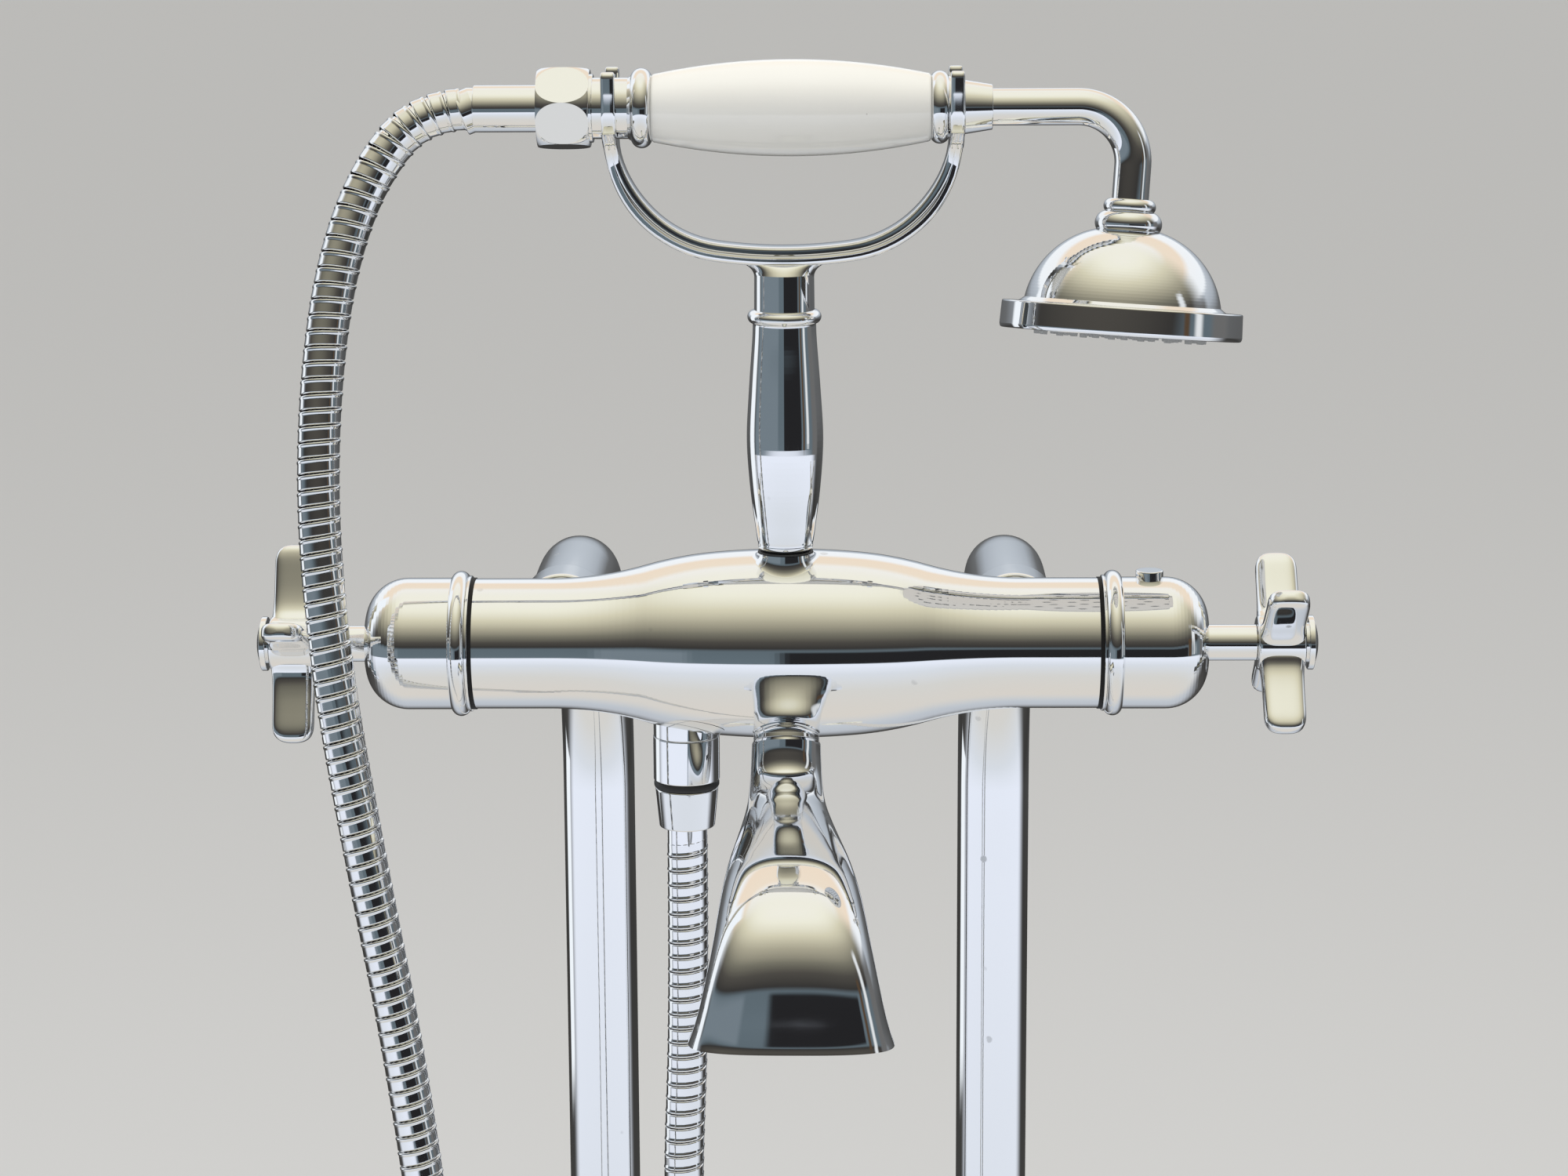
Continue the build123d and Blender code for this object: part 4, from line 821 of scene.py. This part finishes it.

# %% [markdown]
# The bath spout is a casting: round at its root, then widening into an oval bell that turns down.
# Its sections are listed one by one and a smooth curve runs through them. The last ones are drawn
# in and turned back for the lip and the hollow inside.

# %% Bath spout
# front of the section and back of it (forward, down), half width, power of the rounding
spout_sections = [
    (22.0, 25.4, 1.8, 33.6, 11.0, 2.0),
    (22.7, 30.5, 3.0, 41.0, 11.2, 2.0),
    (25.0, 36.2, 8.0, 49.0, 11.6, 2.0),
    (32.5, 39.4, 19.0, 55.0, 12.5, 2.0),
    (47.0, 40.0, 36.0, 59.0, 14.3, 2.0),
    (62.0, 40.6, 53.0, 62.3, 16.4, 2.1),
    (78.3, 41.3, 70.0, 66.2, 18.6, 2.3),
    (93.3, 42.0, 82.5, 70.5, 20.1, 2.5),
    (105.7, 43.0, 90.0, 75.0, 21.2, 2.6),
    (117.8, 46.2, 95.5, 80.0, 22.3, 2.7),
    (126.6, 50.8, 98.5, 84.5, 23.3, 2.8),
    (132.0, 56.0, 100.0, 88.0, 24.3, 2.9),
    (135.7, 62.5, 101.0, 90.5, 25.4, 3.0),
    (137.9, 69.6, 101.7, 92.2, 26.5, 3.1),
    (139.1, 77.0, 102.1, 93.5, 27.7, 3.1),
    (139.6, 84.0, 102.4, 94.5, 29.0, 3.1),
    (140.1, 88.2, 102.5, 95.1, 29.9, 3.1),
    (140.7, 90.6, 102.6, 95.5, 30.4, 3.1),
]
# the spout is screwed on, and stands two degrees round to the right
SPOUT_TURN = Matrix.Rotation(math.radians(-2.1), 3, spout_down)


def spout_ring(row, inset=0.0):
    """One section from its front to its back; inset draws it in, for the lip and the inside."""
    front, back = Vector((0, -row[0], -row[1])), Vector((0, -row[2], -row[3]))
    depth = (back - front).normalized()
    half_depth = (back - front).length / 2
    middle = BODY + (front + back) / 2
    ring = rounded(row[4] - inset, half_depth - inset, row[5], 112)
    return [spout_neck + SPOUT_TURN @ (middle + X * u + depth * v - spout_neck) for u, v in ring]


rows = smooth_through(spout_sections, 6)
outer = [spout_ring(row) for row in rows[1:]]
last = rows[-1]
lip_out = X.cross(Vector((0, last[0] - last[2], last[1] - last[3])).normalized())
lip_out = lip_out if lip_out.z < 0 else -lip_out
WALL, HOLLOW_FROM = 2.4, 48
lip = []
for inset, ahead in ((0.3, -0.3), (1.1, 0.1), (1.9, -0.2), (WALL, -1.0)):
    lip.append([p + lip_out * ahead for p in spout_ring(last, inset)])
inner = [spout_ring(row, WALL) for row in reversed(rows[HOLLOW_FROM:-1])]
spout = lofted([spout_ring(rows[0], 0.5)] + outer + lip + inner)
add_piece("spout_bell", *spout, "chrome", "mixer", ["bath_spout"])
print("stations along the spout", len(rows))

# %% [markdown]
# Below the body hangs the shower outlet: an adapter, a black O-ring, and the hose's nut and ferrule.

# %% Shower outlet
adapter = eased([(-30.4, 6), (-30.4, 10.75, 0.25), (-45.0, 10.75, 0.4), (-45.0, 7.6), (-54.0, 7.6)])
add_piece("outlet_adapter", *spun(adapter, outlet_axis, Z, Y), "chrome", "mixer", ["shower_outlet"])
o_ring = eased([(-45.0, 7.6), (-45.0, 10.6, 1.0), (-47.6, 10.6, 1.0), (-47.6, 7.6)])
add_piece("outlet_seal", *spun(o_ring, outlet_axis, Z, Y), "rubber", "mixer", ["outlet_ring"])
hose_nut = eased([(-47.6, 7.65), (-47.6, 10.25, 0.4), (-60.7, 9.0, 0.5), (-60.7, 6.5)])
add_piece("hose_cap", *spun(hose_nut, outlet_axis, Z, Y), "chrome", "mixer", ["hose_nut"])
low_ferrule = eased([(-58.5, 6.45), (-66.8, 6.45, 0.3), (-66.8, 4.2)])
add_piece("hose_sleeve", *spun(low_ferrule, outlet_axis, Z, Y), "chrome", "mixer", ["lower_ferrule"])

# %% [markdown]
# Behind the body each inlet has a union, and a leg bends down from it to a round foot. A leg is one
# tube, so a circle is carried along its bend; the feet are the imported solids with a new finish.


# %% Legs and feet
def make_leg(x, name):
    """Pillar with its bend, and the union nut that joins it to the body."""
    path = [Vector((0, p.x, p.y)) for p in run((-146, BODY.z), 0, [46, (100, -90), 676], 28)]
    rings = swept([p + X * x for p in path], round_section(13.5, 64), X)
    add_piece(f"{name}_pillar", *lofted(rings), "chrome", "mixer", [f"{name}_leg"])
    centre = BODY + X * x
    union = eased([(36, 12.55), (36, 15.2, 1.2), (54, 15.2, 1.2), (54, 11.0)])
    add_piece(f"{name}_union", *spun(union, centre, Y, Z), "chrome", "mixer", [f"{name}_union_nut"])


for x, name in INLETS:
    make_leg(x, name)

# %% [markdown]
# The hose is a free length of ribbed metal tube. Its route is a smooth curve through a few
# control points: out of the ferrule, down in front of the left end, and round in a hanging loop
# back to the outlet.

# %% Hose route
hose_route = [
    (-96.3, -7.0, 172.1),
    (-112.0, -7.0, 172.1),
    (-128.5, -12.0, 153.0),
    (-138.5, -19.5, 126.0),
    (-143.5, -28.0, 92.0),
    (-145.0, -36.0, 50.0),
    (-141.0, -43.0, 0.0),
    (-131.5, -48.0, -58.0),
    (-119.5, -53.0, -125.0),
    (-110.0, -58.0, -205.0),
    (-107.0, -62.0, -290.0),
    (-112.0, -66.0, -380.0),
    (-121.0, -71.0, -462.0),
    (-129.0, -76.0, -530.0),
    (-129.5, -76.5, -586.0),
    (-103.0, -55.5, -626.0),
    (-60.0, -21.5, -637.0),
    (-20.0, 9.5, -617.0),
    (-3.0, 22.5, -568.0),
    (-8.0, 18.5, -505.0),
    (-20.0, 10.0, -432.0),
    (-30.0, 3.0, -350.0),
    (-35.0, 0.5, -265.0),
    (-35.5, 0.0, -185.0),
    (-32.6, 0.0, -125.0),
    (-32.6, 0.0, -66.8),
]
line = bpy.data.curves.new("hose_line", "CURVE")
line.dimensions = "3D"
spline = line.splines.new("NURBS")
spline.points.add(len(hose_route) - 1)
for point, place in zip(spline.points, hose_route):
    point.co = (*((Vector(place) + BODY) / 1000), 1)
spline.order_u = 3
spline.use_endpoint_u = True
line.resolution_u = 24
hose_line = bpy.data.objects.new("hose_line", line)
bpy.context.scene.collection.objects.link(hose_line)
drawn = bpy.data.meshes.new_from_object(hose_line)
path_points = [v.co.copy() for v in drawn.vertices]
bpy.data.objects.remove(hose_line)
hose_length = sum((b - a).length for a, b in zip(path_points, path_points[1:]))
print("hose length", round(hose_length, 4), "points", len(path_points))

# %% [markdown]
# The hose is wound from one long metal strip whose edges lock: each turn shows a proud rounded lip
# and a lower flat band. Geometry Nodes wind it the same way. The line is cut into even steps, each
# step is moved out to the hose's radius and a little further round than the last, and the strip's
# section is swept along that spiral, held square to the middle line by a captured direction.


# %% Hose tree
def hose_tree():
    """Tree that winds a strip along a line, and the identifiers of its inputs."""
    tree = bpy.data.node_groups.new("wound_strip", "GeometryNodeTree")
    tree.interface.new_socket("Geometry", in_out="INPUT", socket_type="NodeSocketGeometry")
    tree.interface.new_socket("Geometry", in_out="OUTPUT", socket_type="NodeSocketGeometry")
    names = {}
    kinds = {"Turns": "Int", "Steps per turn": "Int", "Radius": "Float", "Strip": "Object",
             "Finish": "Material"}
    for label, kind in kinds.items():
        socket = tree.interface.new_socket(label, in_out="INPUT", socket_type=f"NodeSocket{kind}")
        names[label] = socket.identifier
    given = make_node(tree, "NodeGroupInput", raw=True)
    line, turns, steps, radius, strip, coat = (
        Value(tree, given.outputs[label]) for label in ("Geometry", *kinds)
    )
    curve = make_node(tree, "GeometryNodeMeshToCurve", {}, {"Mesh": line})
    curve = make_node(tree, "GeometryNodeSetCurveNormal", {"mode": "MINIMUM_TWIST"}, {"Curve": curve})
    count = turns * steps + 1
    curve = make_node(tree, "GeometryNodeResampleCurve", {}, {"Curve": curve, "Count": count})
    factor = make_node(tree, "GeometryNodeSplineParameter", output="Factor")
    normal = make_node(tree, "GeometryNodeInputNormal", output="Normal")
    tangent = make_node(tree, "GeometryNodeInputTangent", output="Tangent")
    radial = make_node(
        tree,
        "VectorRotate",
        {"rotation_type": "AXIS_ANGLE"},
        {"Vector": normal, "Axis": tangent, "Angle": factor * turns * math.tau},
    )
    capture = tree.nodes.new("GeometryNodeCaptureAttribute")
    capture.capture_items.new("VECTOR", "Radial")
    tree.links.new(curve.socket, capture.inputs["Geometry"])
    tree.links.new(radial.socket, capture.inputs["Radial"])
    held = Value(tree, capture.outputs["Radial"])
    outward = make_node(tree, "VectorMath", {"operation": "SCALE"}, {0: held, "Scale": radius})
    spiral = Value(tree, capture.outputs["Geometry"])
    spiral = make_node(
        tree, "GeometryNodeSetPosition", {}, {"Geometry": spiral, "Offset": outward}
    )
    spiral = make_node(
        tree, "GeometryNodeSetCurveNormal", {"mode": "FREE"}, {"Curve": spiral, "Normal": held}
    )
    shape = make_node(tree, "GeometryNodeObjectInfo", {}, {"Object": strip}, output="Geometry")
    shape = make_node(tree, "GeometryNodeMeshToCurve", {}, {"Mesh": shape})
    tube = make_node(tree, "GeometryNodeCurveToMesh", {}, {"Curve": spiral, "Profile Curve": shape})
    tube = make_node(tree, "GeometryNodeSetShadeSmooth", {}, [tube])
    tube = make_node(tree, "GeometryNodeRealizeInstances", {}, [tube])
    tube = make_node(tree, "GeometryNodeSetMaterial", {}, {"Geometry": tube, "Material": coat})
    leaving = make_node(tree, "NodeGroupOutput", raw=True)
    tree.links.new(tube.socket, leaving.inputs[0])
    return tree, names


def wire(name, points):
    """Mesh that is one open line of edges; points in metres."""
    mesh = bpy.data.meshes.new(name)
    mesh.from_pydata(points, [(i, i + 1) for i in range(len(points) - 1)], [])
    item = bpy.data.objects.new(name, mesh)
    bpy.context.scene.collection.objects.link(item)
    return item


# %% Wound hose
HOSE_R, PITCH = 6.7, 4.9
turns = round(hose_length * 1000 / PITCH)
# the strip's section over one turn: place along the hose, and how far from the widest radius
strip_points = [
    (-0.80, -0.75), (0.20, -0.75), (0.36, -0.55), (0.42, -0.15), (0.56, 0.0), (0.85, 0.05),
    (1.15, 0.0), (1.42, -0.12), (1.62, -0.18), (1.80, -0.18), (4.30, -0.18), (4.45, -0.18),
    (4.66, -0.30), (4.80, -0.55),
]
strip = wire("strip", [(out / 1000, -along / 1000, 0) for along, out in strip_points])
hose = wire("hose_ribbed", path_points)
tree, sockets = hose_tree()
winding = hose.modifiers.new("winding", "NODES")
winding.node_group = tree
winding[sockets["Turns"]] = turns
winding[sockets["Steps per turn"]] = 18
winding[sockets["Radius"]] = HOSE_R / 1000
winding[sockets["Strip"]] = strip
winding[sockets["Finish"]] = materials["hose"]
graph = bpy.context.evaluated_depsgraph_get()
wound = bpy.data.meshes.new_from_object(hose.evaluated_get(graph), depsgraph=graph)
hose.modifiers.clear()
hose.data = wound
bpy.data.objects.remove(strip)
print("hose turns", turns, "faces", len(wound.polygons))
sample = list(wound.polygons)[::101]
facing_out = 0
for face in sample:
    nearest = min(path_points, key=lambda p: (p - face.center).length)
    facing_out += face.normal.dot(face.center - nearest) > 0
print("hose faces outward", facing_out, "of", len(sample))
if facing_out * 2 < len(sample):
    wound.flip_normals()
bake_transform(hose)
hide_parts("shower_hose")

# %% [markdown]
# The set is a pale floor under a plain white surround. Polished metal is only as good as what it
# mirrors, so reflections see a simple room instead: a warm ceiling, a dark line of furniture at
# eye level, a pale bath below in front, and a darker floor behind. The dark floor behind is what
# draws the crisp dark edges along every tube.

# %% Floor and lamps
floor_mesh = bpy.data.meshes.new("floor")
reach = 40.0
corners = [(-reach, -reach), (reach, -reach), (reach, reach), (-reach, reach)]
floor_mesh.from_pydata([(x, y, -0.0005) for x, y in corners], [], [(0, 1, 2, 3)])
floor = bpy.data.objects.new("floor", floor_mesh)
bpy.context.scene.collection.objects.link(floor)
floor_mesh.materials.append(finish("pale_floor", (0.80, 0.815, 0.85), 0.9)[0])
floor.visible_glossy = False


def add_lamp(name, place, aim, size, power, colour=(1, 1, 1)):
    """Soft lamp that lights the pieces but is not itself mirrored in them."""
    lamp = bpy.data.lights.new(name, "AREA")
    lamp.shape, lamp.size, lamp.size_y = "RECTANGLE", size[0], size[1]
    lamp.energy, lamp.color = power, colour
    holder = bpy.data.objects.new(name, lamp)
    holder.location = place
    holder.rotation_euler = (Vector(aim) - Vector(place)).to_track_quat("-Z", "Y").to_euler()
    holder.visible_glossy = False
    bpy.context.scene.collection.objects.link(holder)


add_lamp("overhead", (0.3, -0.6, 3.2), (0, -0.1, 0.7), (2.2, 1.6), 30, (1.0, 0.97, 0.9))
add_lamp("window", (-2.4, -1.6, 1.7), (0, -0.2, 0.75), (0.9, 1.6), 14, (0.95, 0.98, 1.0))

# %% The room that the metal mirrors
world = bpy.data.worlds.new("surround")
bpy.context.scene.world = world
world.use_nodes = True
tree = world.node_tree
tree.nodes.clear()
direction = make_node(tree, "TexCoord", output="Generated")
split = make_node(tree, "SeparateXYZ", {}, [direction], raw=True)
across, depth, height = (Value(tree, split.outputs[k]) for k in "XYZ")


def colour_ramp(stops):
    """Colours by height, from straight down at -1 to straight up at 1."""
    ramp = tree.nodes.new("ShaderNodeValToRGB")
    while len(ramp.color_ramp.elements) < len(stops):
        ramp.color_ramp.elements.new(0.5)
    for element, (place, colour) in zip(ramp.color_ramp.elements, stops):
        element.position, element.color = place * 0.5 + 0.5, (*colour, 1)
    tree.links.new((height * 0.5 + 0.5).socket, ramp.inputs["Fac"])
    return Value(tree, ramp.outputs["Color"])


def blend(mask, low, high):
    """Colour that runs from low to high with a mask; either may be a fixed colour."""
    settings = {"data_type": "RGBA"}
    mix = make_node(tree, "Mix", settings, {"Factor": mask, "A": low, "B": high}, raw=True)
    return Value(tree, mix.outputs["Result"])


front = colour_ramp([
    (-1.0, (0.776, 0.734, 0.675)), (-0.75, (0.753, 0.744, 0.713)), (-0.45, (0.776, 0.819, 0.883)),
    (-0.27, (0.905, 0.955, 1.07)), (-0.236, (0.905, 0.955, 1.07)), (-0.222, (0.137, 0.178, 0.207)),
    (0.04, (0.123, 0.161, 0.187)), (0.10, (0.042, 0.04, 0.038)), (0.24, (0.084, 0.078, 0.068)),
    (0.40, (0.206, 0.197, 0.153)), (0.60, (0.452, 0.422, 0.315)), (0.80, (0.753, 0.713, 0.531)),
    (0.95, (0.974, 0.955, 0.798)), (1.0, (1.0, 0.98, 0.86)),
])
behind = colour_ramp([
    (-1.0, (0.62, 0.674, 0.734)), (-0.80, (0.549, 0.583, 0.637)), (-0.55, (0.085, 0.083, 0.08)),
    (-0.30, (0.046, 0.045, 0.043)), (-0.05, (0.15, 0.155, 0.16)), (0.08, (0.42, 0.46, 0.51)),
    (0.20, (0.55, 0.60, 0.66)), (0.26, (0.98, 1.02, 1.06)), (0.50, (1.0, 1.02, 1.04)),
    (0.60, (0.974, 0.819, 0.655)), (0.78, (0.974, 0.84, 0.68)), (0.85, (1.0, 0.98, 0.92)),
    (1.0, (1.0, 0.98, 0.86)),
])
room_colour = blend(depth.clamped(-0.05, 0.45), front, behind)
azimuth = make_node(tree, "Math", {"operation": "ARCTAN2"}, [across, depth * -1.0])
# panels of the room: from and to in turn about the upright, low and high edge, colour, softness
panels = [
    (-1.75, -0.30, -0.235, 0.07, (0.19, 0.235, 0.27), 0.10),
    (-0.06, 0.95, -0.232, 0.05, (0.02, 0.02, 0.022), 0.06),
    (0.98, 1.14, -0.232, 0.22, (0.10, 0.065, 0.04), 0.06),
    (1.18, 1.42, -0.20, 0.50, (0.85, 0.88, 0.90), 0.10),
    (1.50, 2.10, -0.235, 0.30, (0.16, 0.16, 0.16), 0.20),
    (-2.30, -1.80, -0.35, 0.80, (1.0, 1.05, 1.1), 0.10),
]
for left, right_edge, low, high, colour, soft in panels:
    wide = azimuth.clamped(left, left + soft) * (1 - azimuth.clamped(right_edge - soft, right_edge))
    tall = height.clamped(low, low + 0.015) * (1 - height.clamped(high - soft, high))
    room_colour = blend(wide * tall, room_colour, (*colour, 1))

room = make_node(tree, "Background", {}, {"Color": room_colour, "Strength": 1.0}, raw=True)
daylight = blend(height.clamped(-0.6, 0.6), (0.44, 0.53, 0.66, 1), (1.0, 0.97, 0.90, 1))
plain = make_node(tree, "Background", {}, {"Color": daylight, "Strength": 0.62}, raw=True)
white = make_node(tree, "Background", {}, {"Color": (0.93, 0.935, 0.94, 1), "Strength": 1.0}, raw=True)
rays = make_node(tree, "LightPath", raw=True)
lit = make_node(tree, "MixShader", raw=True)
tree.links.new(rays.outputs["Is Glossy Ray"], lit.inputs[0])
tree.links.new(plain.outputs[0], lit.inputs[1])
tree.links.new(room.outputs[0], lit.inputs[2])
seen = make_node(tree, "MixShader", raw=True)
tree.links.new(rays.outputs["Is Camera Ray"], seen.inputs[0])
tree.links.new(lit.outputs[0], seen.inputs[1])
tree.links.new(white.outputs[0], seen.inputs[2])
output = make_node(tree, "OutputWorld", raw=True)
tree.links.new(seen.outputs[0], output.inputs["Surface"])
